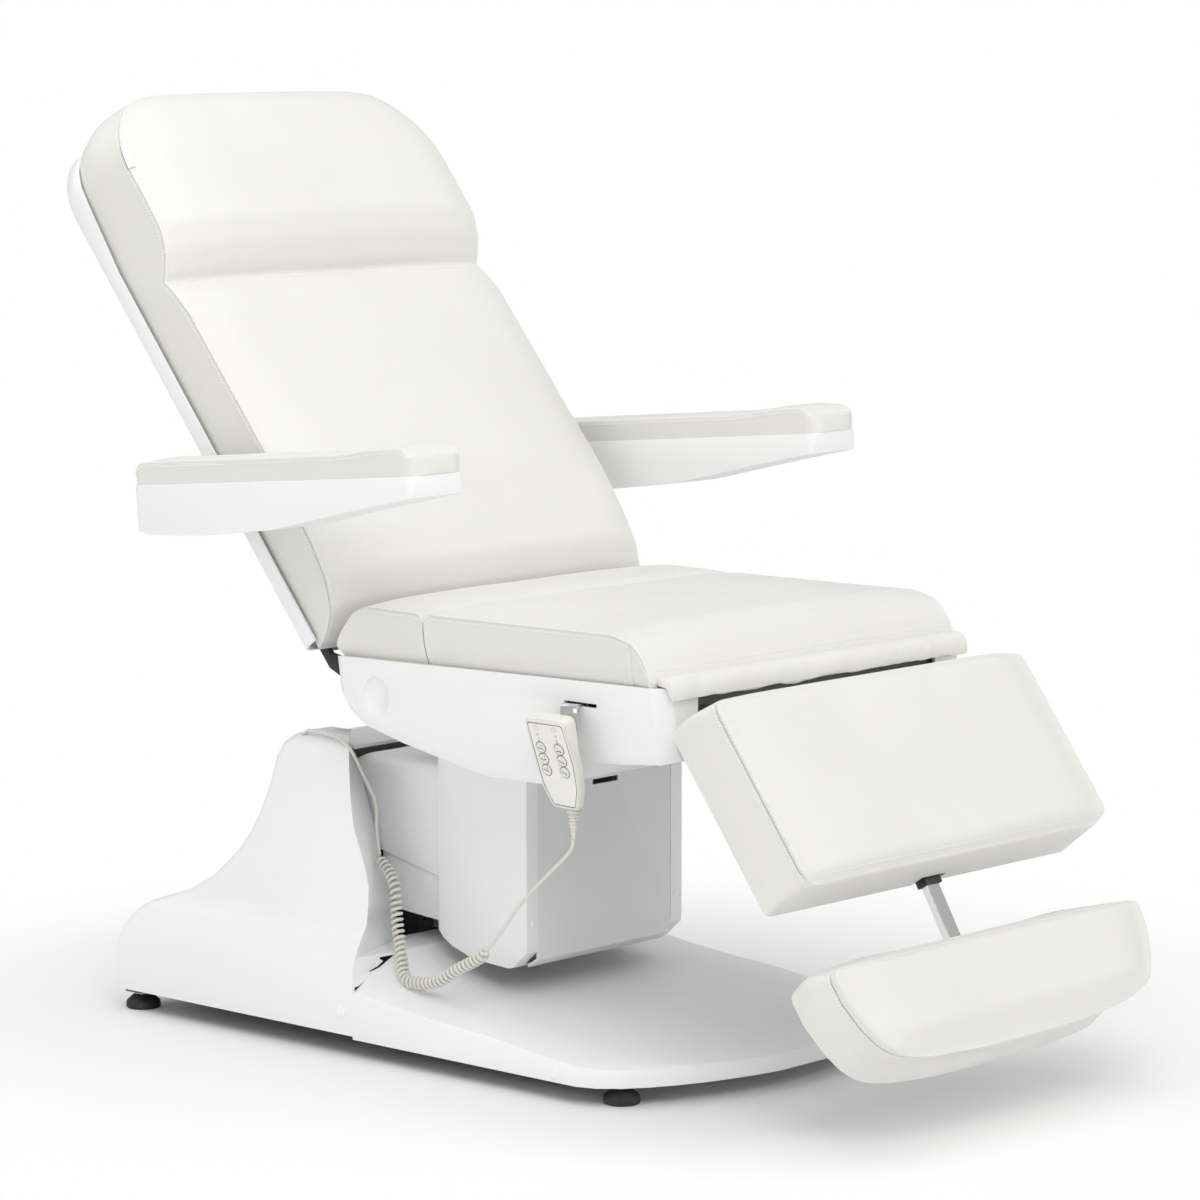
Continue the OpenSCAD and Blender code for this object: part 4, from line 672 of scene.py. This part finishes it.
# seat: a narrow rear cushion and the main one, each with a sewn row up its sides
seatPad = {
    "rear": 443.99, "under": 530, "halfWidth": 300, "crown": 8, "length": 541, "fill": 0.8,
    "squareness": 6, "drawnIn": 6, "pucker": 1.0, "rearSeed": 11, "mainSeed": 17, "step": 6,
    "rearDenseEnds": 30, "mainDenseEnds": 50,
    "split": 154, "corner": 506, "cornerPinch": 2.2,
    "rearRows": (147.5,), "mainRows": (160.5, 501.6),
    "seam": [(-1, 16), (3, 28), (14, 42), (27, 58), (51, 67), (145, 66), (153, 57), (156, 57), (164, 66),
             (475, 69), (508, 61), (525, 44), (540, 16)],
    "nearCorner": (-4, -2.6, -1.6, -0.8, 0, 0.8, 1.6, 2.6, 4),
}


def seatSection(d, seed):
    v = seatPad
    rear = rise(d, 60) if d < 60 else 1
    front = rise(v["length"] - d, 70) if d > v["length"] - 70 else 1
    high = v["crown"] * rear * front * (0.4 + 0.6 * rise(abs(d - v["split"]), 30))
    e = min(abs(d + 1), abs(d - v["split"] + 1), abs(d - v["split"] - 1), abs(d - v["length"] + 1))
    return padSection(v, v["rear"] + d, v["halfWidth"] - (4 if d > v["length"] - 3 else 0),
                      v["under"] + softLookup(d, v["seam"], min(5, 0.6 * e)), high, min(1, 0.1 + e / 10), seed,
                      pinch=v["cornerPinch"] * math.exp(-((d - v["corner"]) / 1.5) ** 2))


def sideRows(distances, seed):
    # stitched rows that run up the side walls beside a seam
    return [[onSeat(*p) for p in seatSection(d, seed)["wall"][side]] for d in distances for side in (0, 1)]


mainStart = seatPad["split"] + 1
rearStations = [-1 + d for d in stations(seatPad["split"], seatPad["step"], seatPad["rearDenseEnds"])]
mainStations = stations(seatPad["length"] - 1 - mainStart, seatPad["step"], seatPad["mainDenseEnds"])
mainStations = [mainStart + d for d in mainStations if abs(mainStart + d - seatPad["corner"]) > 4.5]
mainStations = sorted(mainStations + [seatPad["corner"] + k for k in seatPad["nearCorner"]])
rearSections = [seatSection(d, seatPad["rearSeed"]) for d in rearStations]
mainSections = [seatSection(d, seatPad["mainSeed"]) for d in mainStations]
upholster("rearSeatUpholstery", rearSections, onSeat, "carriage", "rear_seat_cushion", (0, 0),
          sideRows(seatPad["rearRows"], seatPad["rearSeed"]), (False, True), (False, False))
upholster("seatUpholstery", mainSections, onSeat, "carriage", "seat_cushion", (0, 1),
          sideRows(seatPad["mainRows"], seatPad["mainSeed"]), (True, True), (False, False))
print("stage: seat pads")

# armrests
restPad = {
    "length": 512, "behind": 44, "halfWidth": 48, "round": 16, "middle": 47.5, "under": 32, "height": 28,
    "wedge": 6, "wedgeFrom": 318, "wedgeLength": 110, "crown": 5, "fill": 0.85,
    "squareness": 3, "drawnIn": 1, "pucker": 0.7, "seed": 20, "step": 7, "denseEnds": 40,
}


def restSection(d, side):
    v = restPad
    e = min(d, v["length"] - d)
    x = d - v["behind"]
    wedge = v["wedge"] * ease((x - v["wedgeFrom"]) / v["wedgeLength"])
    seam = v["under"] + v["height"] + wedge - 10 * (1 - rise(e, 20))
    return padSection(v, x, cornerWidth(v["halfWidth"], v["round"], e), seam, v["crown"] * rise(e, 40),
                      min(0.7, 0.15 + e / 20), v["seed"] + side)


for side, word in ((1, "left"), (-1, "right")):
    upholster(word + "ArmUpholstery", [restSection(d, side) for d in padStations(restPad)],
              lambda x, y, z, s=side: onRest(x, y + restPad["middle"], z, s), word + "_armrest",
              word + "_arm_pad", (1.5, 1.5))
print("stage: armrest pads")

# leg rest, with a channel under it for the footrest's bar
legPad = {
    "length": 256, "near": 12, "halfWidth": 300, "round": 24, "roundBelow": 8, "under": -3, "height": 77,
    "crown": 18, "puff": 7, "swell": 2, "fill": 0.85,
    "squareness": 10, "drawnIn": 1, "pucker": 1.2, "seed": 31, "step": 6, "denseEnds": 40,
    "channel": ((-341, -24, -60), (-61, 24, -1)),
}


def legSection(d):
    v = legPad
    e = min(d, v["length"] - d)
    w = cornerWidth(v["halfWidth"], v["round"], e)
    return padSection(v, v["near"] + d, w, v["height"] - 7 * (1 - rise(e, 12)), v["crown"] * rise(e + 14, 36),
                      min(1, 0.15 + e / 14), swell=v["swell"],
                      flare=cornerWidth(v["halfWidth"], v["roundBelow"], e) - w,
                      puff=v["puff"] * rise(e + 8, 24))


def cutChannel(piece, low, high):
    # the slot that the bar or its sleeve runs in, cut square to the footrest
    deselect()
    bpy.ops.mesh.primitive_cube_add(size=0.001)
    cutter = bpy.context.object
    for v in cutter.data.vertices:
        v.co = onFoot(*(low[i] if v.co[i] < 0 else high[i] for i in range(3)))
    pick(piece)
    cut = piece.modifiers.new("channel", "BOOLEAN")
    cut.operation, cut.solver, cut.object = "DIFFERENCE", "EXACT", cutter
    bpy.ops.object.modifier_apply(modifier=cut.name)
    bpy.data.objects.remove(cutter)
    smooth(piece, sewing["smoothAngle"])


legPiece = upholster("legRestUpholstery", [legSection(d) for d in padStations(legPad)], onLeg, "leg_rest",
                     "leg_cushion", (2.5, 2.5))
cutChannel(legPiece, *legPad["channel"])

# footrest: half-moon front, straight top
footPad = {
    "length": 139, "halfWidth": 300, "under": -37, "height": 33, "crown": 26, "puff": 13, "swell": 8,
    "fill": 0.85, "squareness": 12, "drawnIn": 1, "pucker": 1.2, "seed": 41, "step": 4, "denseEnds": 40,
    # share of the length, added half width
    "width": [(0, -96), (0.02, -38), (0.06, -4), (0.13, 0), (0.34, -3), (0.6, -18), (0.76, -34), (0.85, -50),
              (0.91, -70), (0.955, -104), (0.985, -160), (1, -212)],
    "channel": ((-12, -13, -38), (56, 13, -6)),
}


def footSection(u):
    v = footPad
    e = v["length"] - u
    w = v["halfWidth"] + softLookup(u / v["length"], v["width"], min(0.02, 0.6 * min(u, e) / v["length"]))
    crown = v["crown"] * rise(u + 10, 30) * rise(e, 44)
    return padSection(v, u, w, v["height"] - 6 * (1 - rise(u, 12)), crown, min(1, 0.15 + min(u, e) / 14),
                      back=-3 + 11 * u / v["length"], swell=v["swell"],
                      puff=v["puff"] * rise(u + 10, 24) * rise(e, 30))


footPiece = upholster("footRestUpholstery", [footSection(u) for u in padStations(footPad)], onFoot, "footrest",
                      "foot_cushion", (2, 1.5))
cutChannel(footPiece, *footPad["channel"])
print("stage: leg and foot pads")

# loose strips of hide: each point of a section is x, z and how freely it may fold
frontFlap = {
    "half": 290, "ripple": 3.8, "seed": 3, "fill": 0.3,
    "section": [(984, 551, 0), (984, 541, 0), (990, 543, 0.2), (997, 544.5, 0.5), (1004, 543, 0.8),
                (1008, 538, 1), (1009.5, 530, 1), (1010, 525, 1), (1013, 525, 1), (1013, 532, 1),
                (1012, 540, 1), (1008.5, 546.5, 1), (1003, 551, 0.8), (996, 553, 0.5), (990, 553, 0.2)],
    "rowX": 1013.2, "rowHeight": 527.5, "rowStart": -284, "rowStep": 4, "rowSteps": 143,
}
rearFlap = {
    "half": 265, "ripple": 0.4, "seed": 8, "fill": 0.3,
    "section": [(437.9, 521, 0), (437.9, 534, 0), (437.9, 548, 0), (440, 549, 0), (442.5, 548, 0),
                (442.5, 534, 0), (442.5, 521, 0)],
}


def strip(name, flap, node, count=150):
    bm = bmesh.new()
    loops = []
    for i in range(count + 1):
        y = -flap["half"] + 2 * flap["half"] * i / count
        end = min(1, (flap["half"] - abs(y)) / 12 + 0.2)
        loop = []
        for x, z, free in flap["section"]:
            fold = noise.noise(Vector((y * 0.021, z * 0.02, flap["seed"])))
            fold = fold + 0.5 * noise.noise(Vector((y * 0.055, x * 0.05, flap["seed"])))
            loop.append(bm.verts.new(onSeat(x + 0.8 * flap["ripple"] * free * fold * end, y,
                                            z + flap["ripple"] * free * fold * end)))
        loops.append(loop)
    n = len(flap["section"])
    for a, b in zip(loops, loops[1:]):
        for k in range(n):
            bm.faces.new((a[k], b[k], b[(k + 1) % n], a[(k + 1) % n]))
    bm.faces.new(loops[0])
    bm.faces.new(list(reversed(loops[-1])))
    bmesh.ops.recalc_face_normals(bm, faces=bm.faces)
    piece = meshObject(name, bm)
    pick(piece)
    fine = piece.modifiers.new("fine", "SUBSURF")
    fine.levels = fine.render_levels = 1
    bpy.ops.object.modifier_apply(modifier=fine.name)
    smooth(piece, 60)
    softPiece(piece, "carriage", node)


strip("frontFlap", frontFlap, "front_flap")
strip("rearFlap", rearFlap, "rear_flap")
flapLine = [onSeat(frontFlap["rowX"], frontFlap["rowStart"] + frontFlap["rowStep"] * i, frontFlap["rowHeight"])
            for i in range(frontFlap["rowSteps"])]
stitches("frontFlapStitches", [flapLine], "carriage")
print("stage: flaps")

# rigid pieces: merged copies of the solids with rounded edges
rigid = {
    # node: (finish, edge radius in mm, segments, shading angle)
    "base_frame": (coated, 1.2, 2, 40), "foot_pads": (tread, 1.2, 3, 40), "foot_studs": (steel, 0.3, 2, 40),
    "rear_cover": (satin, 2.2, 4, 44), "front_cover": (deckSkin, 2.2, 4, 40),
    "cover_caps": (capSkin, 0.7, 3, 40), "arm_shafts": (steel, 0.8, 2, 40),
    "control_box": (blackPlastic, 2, 3, 40), "mains_inlet": (blackPlastic, 0.8, 3, 40),
    "cord_gland": (cordSkin, 0.4, 3, 40),
    "lift_motor": (blackPlastic, 0.8, 2, 40), "lower_arm": (coated, 0.8, 2, 40),
    "lower_arm_cover": (satin, 1.2, 3, 40), "upper_arm": (coated, 0.8, 2, 40),
    "upper_arm_cover": (satin, 1.6, 4, 40), "lift_rod": (steel, 0.5, 2, 40),
    "carriage_frame": (coated, 0.8, 2, 40), "box_cover": (satin, 0.9, 3, 35),
    "box_panel": (panelSkin, 0.8, 3, 35), "panel_caps": (capSkin, 0.5, 3, 40),
    "seat_frame": (coated, 0.8, 2, 40), "seat_board": (ply, 0.6, 2, 40),
    "seat_shell": (satin, 1.4, 4, 42), "handset_hook": (chrome, 0.5, 3, 50),
    "back_frame": (blackCoated, 0.8, 2, 40), "back_shell": (satin, 1.2, 4, 42),
    "back_motor": (blackPlastic, 0.8, 2, 40), "back_rod": (steel, 0.5, 2, 40),
    "left_arm_shell": (satin, 2.0, 4, 42), "right_arm_shell": (satin, 2.0, 4, 42),
    "leg_frame": (coated, 0.7, 2, 40), "bar_sleeve": (blackPlastic, 0.6, 2, 40),
    "leg_motor": (blackPlastic, 0.8, 2, 40), "leg_rod": (steel, 0.5, 2, 40), "foot_bar": (chrome, 1.6, 4, 40),
    "foot_board": (satin, 1.5, 3, 40), "handset_case": (handsetSkin, 1.0, 4, 44),
    "handset_face": (faceFilm, 0.2, 2, 40), "strain_relief": (cordSkin, 0.4, 3, 50),
}
for word in ("back_up", "back_down", "leg_up", "leg_down", "lift_up", "lift_down"):
    rigid[word + "_button"] = (handsetSkin, 0.6, 4, 50)
for word in ("memory_one", "memory_two"):
    rigid[word + "_button"] = (handsetSkin, 0.4, 3, 50)
edging = {"mergeWithin": 2e-6, "flatUnder": 0.7, "roundOver": 34}       # metres, degrees, degrees
# the strain relief's moulded ribs: their top, pitch and count, and how far the neck between them is drawn in
relief = {"top": (8, -5.2, -61.3), "grooves": (5.3, 7), "pitch": 4.4, "count": 7, "neck": 0.74}


def deepenRibs(bm):
    top = onHandset(*relief["top"])
    for v in bm.verts:
        down = (top.z - v.co.z) * 1000
        if any(abs(down - groove - relief["pitch"] * i) < 0.3
               for i in range(relief["count"]) for groove in relief["grooves"]):
            v.co.x = top.x + (v.co.x - top.x) * relief["neck"]
            v.co.y = top.y + (v.co.y - top.y) * relief["neck"]


def dressNode(node, finish, radius, segments, angle):
    mesh = frame["nodes"][node].data.copy()
    words = node.split("_")
    piece = newObject(words[0] + "".join(w.capitalize() for w in words[1:]), mesh)
    bm = bmesh.new()
    bm.from_mesh(mesh)
    bmesh.ops.remove_doubles(bm, verts=bm.verts, dist=edging["mergeWithin"])
    bmesh.ops.dissolve_limit(bm, angle_limit=math.radians(edging["flatUnder"]), verts=bm.verts, edges=bm.edges)
    if node == "strain_relief":
        deepenRibs(bm)
    bm.to_mesh(mesh)
    bm.free()
    mesh.validate()
    pick(piece)
    edge = piece.modifiers.new("edge", "BEVEL")
    edge.width, edge.segments = radius / 1000, segments
    edge.limit_method, edge.angle_limit = "ANGLE", math.radians(edging["roundOver"])
    edge.use_clamp_overlap, edge.miter_outer = True, "MITER_ARC"
    bpy.ops.object.modifier_apply(modifier=edge.name)
    smooth(piece, angle)
    dressWith(piece, finish)
    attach(piece, bodyOf[node])
    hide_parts(node)


for node, values in rigid.items():
    dressNode(node, *values)
print("stage: rigid pieces", len(rigid))

# printed on the handset: each button's figure and ring, the small lamps, a line round the face
marks = {
    "cap": -11.57, "face": -10.58,                  # how far forward the buttons' tops and the face are
    "ink": 0.12,
    "buttons": {"back_up": (-14.5, 25.5), "back_down": (15.5, 25.5), "leg_up": (-14.5, 9.8),
                "leg_down": (15.5, 9.8), "lift_up": (-14.5, -5.9), "lift_down": (15.5, -5.9)},
    "ring": (7.35, 8.2), "stroke": 1.15,
    "memory": [(-14.5, 43.5), (15.5, 43.5)], "memoryRing": (1.3, 1.7), "lampBelow": 5.4, "lamp": 1.0,
    "digits": [((-14.5, 33.0), (-14.5, 35.6), 0.8), ((14.3, 35.5), (16.6, 35.5), 0.7),
               ((16.6, 35.5), (14.3, 33.1), 0.7), ((14.3, 33.1), (16.7, 33.1), 0.7)],
    "margin": 0.3, "line": 1.1,
}


def flatRing(x, z, inner, outer, sides):
    # a filled circle, inset, with its middle taken out
    bpy.ops.mesh.primitive_circle_add(vertices=sides, radius=outer / 1000, fill_type="NGON",
                                      location=(x / 1000, z / 1000, 0))
    if inner:
        bpy.ops.object.mode_set(mode="EDIT")
        bpy.ops.mesh.select_all(action="SELECT")
        bpy.ops.mesh.inset(thickness=(outer - inner) / 1000)
        bpy.ops.mesh.delete(type="FACE")
        bpy.ops.object.mode_set(mode="OBJECT")
    return bpy.context.object


def copied(shape, x, z):
    twin = newObject(shape.name, shape.data.copy())
    twin.location = (x / 1000, z / 1000, 0)
    return twin


def flatBar(start, end, width):
    # a one millimetre plane stretched between two points
    x, z = end[0] - start[0], end[1] - start[1]
    bpy.ops.mesh.primitive_plane_add(size=0.001, rotation=(0, 0, math.atan2(z, x)),
                                     location=((start[0] + end[0]) / 2000, (start[1] + end[1]) / 2000, 0))
    shape = bpy.context.object
    shape.scale = (math.hypot(x, z), width, 1)
    return shape


def arrowTip(x, z, up):
    # a three-sided circle, 2.6 wide and 1.8 high
    turn = 0 if up > 0 else math.pi
    bpy.ops.mesh.primitive_circle_add(vertices=3, radius=0.001, fill_type="NGON", rotation=(0, 0, turn),
                                      location=(x / 1000, z / 1000, 0))
    shape = bpy.context.object
    shape.scale = (2.6 / math.sqrt(3), 1.8 / 1.5, 1)
    return shape


def buttonFigure(word, x, z):
    # a lying figure of plain bars with its moving part raised or lowered, and an arrow
    part, way = word.split("_")
    up = 1 if way == "up" else -1
    bars = {
        "back": [(-4.4, -1.2 + 1.6 * up, -0.6, -1.6), (-0.6, -1.6, 2.2, -1.6), (2.2, -1.6, 3.8, -3.2)],
        "leg": [(-4.2, 1.2, -1.2, -1.4), (-1.2, -1.4, 1.4, -1.4), (1.4, -1.4, 4.2, -1.4 + 1.6 * up)],
        "lift": [(-4, 1.6, -1.4, -0.4), (-1.4, -0.4, 2, -0.4), (2, -0.4, 3.4, -1.8)],
    }[part]
    figure = [flatBar((x + a, z + b), (x + c, z + d), marks["stroke"]) for a, b, c, d in bars]
    return figure + [arrowTip(x + 2.5, z + 2.7 * up, up)]


def faceLine():
    # follows the outline of the handset's face, a little inside it
    a = math.radians(mounting["handset"]["lean"])
    flat = set()
    for v in frame["nodes"]["handset_face"].data.vertices:
        p = v.co - onHandset(0, 0, 0)
        flat.add((round(p.x * 1000, 3), round((-p.y * math.sin(a) + p.z * math.cos(a)) * 1000, 3)))
    flat = sorted(flat)

    def chain(points):
        out = []
        for q in points:
            while len(out) > 1 and ((out[-1][0] - out[-2][0]) * (q[1] - out[-2][1])
                                    - (out[-1][1] - out[-2][1]) * (q[0] - out[-2][0])) <= 0:
                out.pop()
            out.append(q)
        return out[:-1]

    hull = chain(flat) + chain(flat[::-1])
    n = len(hull)
    cx, cz = sum(q[0] for q in hull) / n, sum(q[1] for q in hull) / n
    points = []
    for inset in (marks["margin"], marks["margin"] + marks["line"]):
        for x, z in hull:
            share = 1 - inset / math.hypot(x - cx, z - cz)
            points.append(((cx + (x - cx) * share) / 1000, (cz + (z - cz) * share) / 1000, 0))
    mesh = bpy.data.meshes.new("faceLine")
    mesh.from_pydata(points, [], [(k, (k + 1) % n, n + (k + 1) % n, n + k) for k in range(n)])
    return newObject("faceLine", mesh)


def printOnHandset(name, shapes, depth, body):
    # joins the flat shapes, gives them the ink's thickness and stands them up on the handset
    deselect()
    for shape in shapes:
        shape.select_set(True)
    bpy.context.view_layer.objects.active = shapes[0]
    bpy.ops.object.transform_apply(location=True, rotation=True, scale=True)
    bpy.ops.object.join()
    piece = bpy.context.object
    piece.name = piece.data.name = name
    bpy.ops.object.mode_set(mode="EDIT")
    bpy.ops.mesh.select_all(action="SELECT")
    bpy.ops.mesh.extrude_region_move(TRANSFORM_OT_translate={"value": (0, 0, marks["ink"] / 1000)})
    bpy.ops.mesh.select_all(action="SELECT")
    bpy.ops.mesh.normals_make_consistent(inside=False)
    bpy.ops.object.mode_set(mode="OBJECT")
    piece.rotation_euler = (math.radians(90 + mounting["handset"]["lean"]), 0, 0)
    piece.location = onHandset(0, depth, 0)
    bpy.ops.object.transform_apply(location=True, rotation=True, scale=True)
    dressWith(piece, markInk)
    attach(piece, body)


for word, (x, z) in marks["buttons"].items():
    printOnHandset(word + "Figure", buttonFigure(word, x, z), marks["cap"], word + "_button_cap")
deselect()
places = list(marks["buttons"].values())
prints = [flatRing(*places[0], *marks["ring"], 40)]
prints += [copied(prints[0], x, z) for x, z in places[1:]]
for x, z in marks["memory"]:
    prints.append(flatRing(x, z, *marks["memoryRing"], 16))
    prints.append(flatRing(x, z - marks["lampBelow"], 0, marks["lamp"], 12))
prints += [flatBar(*digit) for digit in marks["digits"]]
printOnHandset("handsetPrint", prints + [faceLine()], marks["face"], "handset")
print("stage: handset marks")

# sewn tag on the side of the head section, left bare
tag = {"from": 696, "to": 734, "rows": 8, "shares": (0, 0.35, 0.7, 1), "reach": 2.5, "thick": 0.7,
       "inward": 0.4, "clear": 0.9, "curl": 1.3}


def makeTag():
    bm = bmesh.new()
    rows = []
    for i in range(tag["rows"] + 1):
        section = backSection(tag["from"] + (tag["to"] - tag["from"]) * i / tag["rows"])
        seam, onTop = section["seam"][1], section["topRow"][1]
        row = []
        for share in tag["shares"]:
            p = seam.lerp(onTop, share * tag["reach"])
            wave = tag["curl"] * math.sin(share * 2.2 + i * 0.12)
            row.append(Vector((p.x, p.y - tag["inward"], p.z + tag["clear"] + wave)))
        rows.append(row)
    under, over = ([[bm.verts.new(onBack(p.x, p.y, p.z + up)) for p in row] for row in rows]
                   for up in (0, tag["thick"]))
    columns = len(tag["shares"]) - 1
    for i in range(tag["rows"]):
        for j in range(columns):
            bm.faces.new((under[i][j], under[i][j + 1], under[i + 1][j + 1], under[i + 1][j]))
            bm.faces.new((over[i][j], over[i + 1][j], over[i + 1][j + 1], over[i][j + 1]))
    for i in range(tag["rows"]):
        for j in (0, columns):
            bm.faces.new((under[i][j], under[i + 1][j], over[i + 1][j], over[i][j]))
    for j in range(columns):
        for i in (0, tag["rows"]):
            bm.faces.new((under[i][j], under[i][j + 1], over[i][j + 1], over[i][j]))
    bmesh.ops.recalc_face_normals(bm, faces=bm.faces)
    piece = meshObject("sewnTag", bm)
    smooth(piece, 40)
    return piece


tagPiece = makeTag()
dressWith(tagPiece, tagCloth)
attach(tagPiece, "backrest")

# floor, world and lamps; the floor keeps the shadow near the base and fades to white further out
studio = {
    "floor": (0.93, 0.93, 0.93), "floorSize": 30, "fade": (0.5, 1.35), "sky": 0.58, "aim": (620, 0, 560),
    "lamps": [("keyLamp", (3500, -2300, 3500), 2.6, 59), ("topLamp", (900, -200, 3400), 2.4, 27),
              ("fillLamp", (4300, 1500, 1300), 2.2, 20), ("rearLamp", (-1900, -900, 2300), 1.8, 12),
              ("sideLamp", (200, -3000, 700), 2.0, 9)],      # name, place, size in metres, power
}
bpy.ops.mesh.primitive_plane_add(size=2 * studio["floorSize"])
floor = bpy.context.object
floor.name = "floor"


def anySeen(nodes, links):
    # camera rays, and rays that pass through something
    rays = nodes.new("ShaderNodeLightPath")
    seen = nodes.new("ShaderNodeMath")
    seen.operation = "MAXIMUM"
    links.new(rays.outputs["Is Camera Ray"], seen.inputs[0])
    links.new(rays.outputs["Is Transmission Ray"], seen.inputs[1])
    return seen.outputs[0]


floorMat, nodes, links, shader = material("paleFloor", studio["floor"], 0.8)
dressWith(floor, floorMat)
distance = nodes.new("ShaderNodeVectorMath")
distance.operation = "LENGTH"
links.new(objectCoordinates(nodes), distance.inputs[0])
fade = nodes.new("ShaderNodeMapRange")
fade.interpolation_type = "SMOOTHSTEP"
fade.inputs["From Min"].default_value, fade.inputs["From Max"].default_value = studio["fade"]
links.new(distance.outputs["Value"], fade.inputs["Value"])
gate = nodes.new("ShaderNodeMath")
gate.operation = "MULTIPLY"
links.new(anySeen(nodes, links), gate.inputs[0])
links.new(fade.outputs["Result"], gate.inputs[1])
glow = nodes.new("ShaderNodeEmission")
glow.inputs["Color"].default_value = (1, 1, 1, 1)
mix = nodes.new("ShaderNodeMixShader")
links.new(gate.outputs[0], mix.inputs["Fac"])
links.new(shader.outputs["BSDF"], mix.inputs[1])
links.new(glow.outputs["Emission"], mix.inputs[2])
links.new(mix.outputs["Shader"], nodes["Material Output"].inputs["Surface"])

world = bpy.data.worlds.new("studio")
scene.world = world
world.use_nodes = True
nodes, links = world.node_tree.nodes, world.node_tree.links
sky = nodes["Background"]
sky.inputs["Color"].default_value = (1, 1, 1, 1)
sky.inputs["Strength"].default_value = studio["sky"]
white = nodes.new("ShaderNodeBackground")
white.inputs["Color"].default_value = (1, 1, 1, 1)
white.inputs["Strength"].default_value = 1
mix = nodes.new("ShaderNodeMixShader")
links.new(anySeen(nodes, links), mix.inputs["Fac"])
links.new(sky.outputs["Background"], mix.inputs[1])
links.new(white.outputs["Background"], mix.inputs[2])
links.new(mix.outputs["Shader"], nodes["World Output"].inputs["Surface"])

for name, where, size, power in studio["lamps"]:
    lamp = bpy.data.lights.new(name, "AREA")
    lamp.shape, lamp.size, lamp.energy = "DISK", size, power
    lookAt(newObject(name, lamp), where, studio["aim"])
print("stage: studio")

deselect()
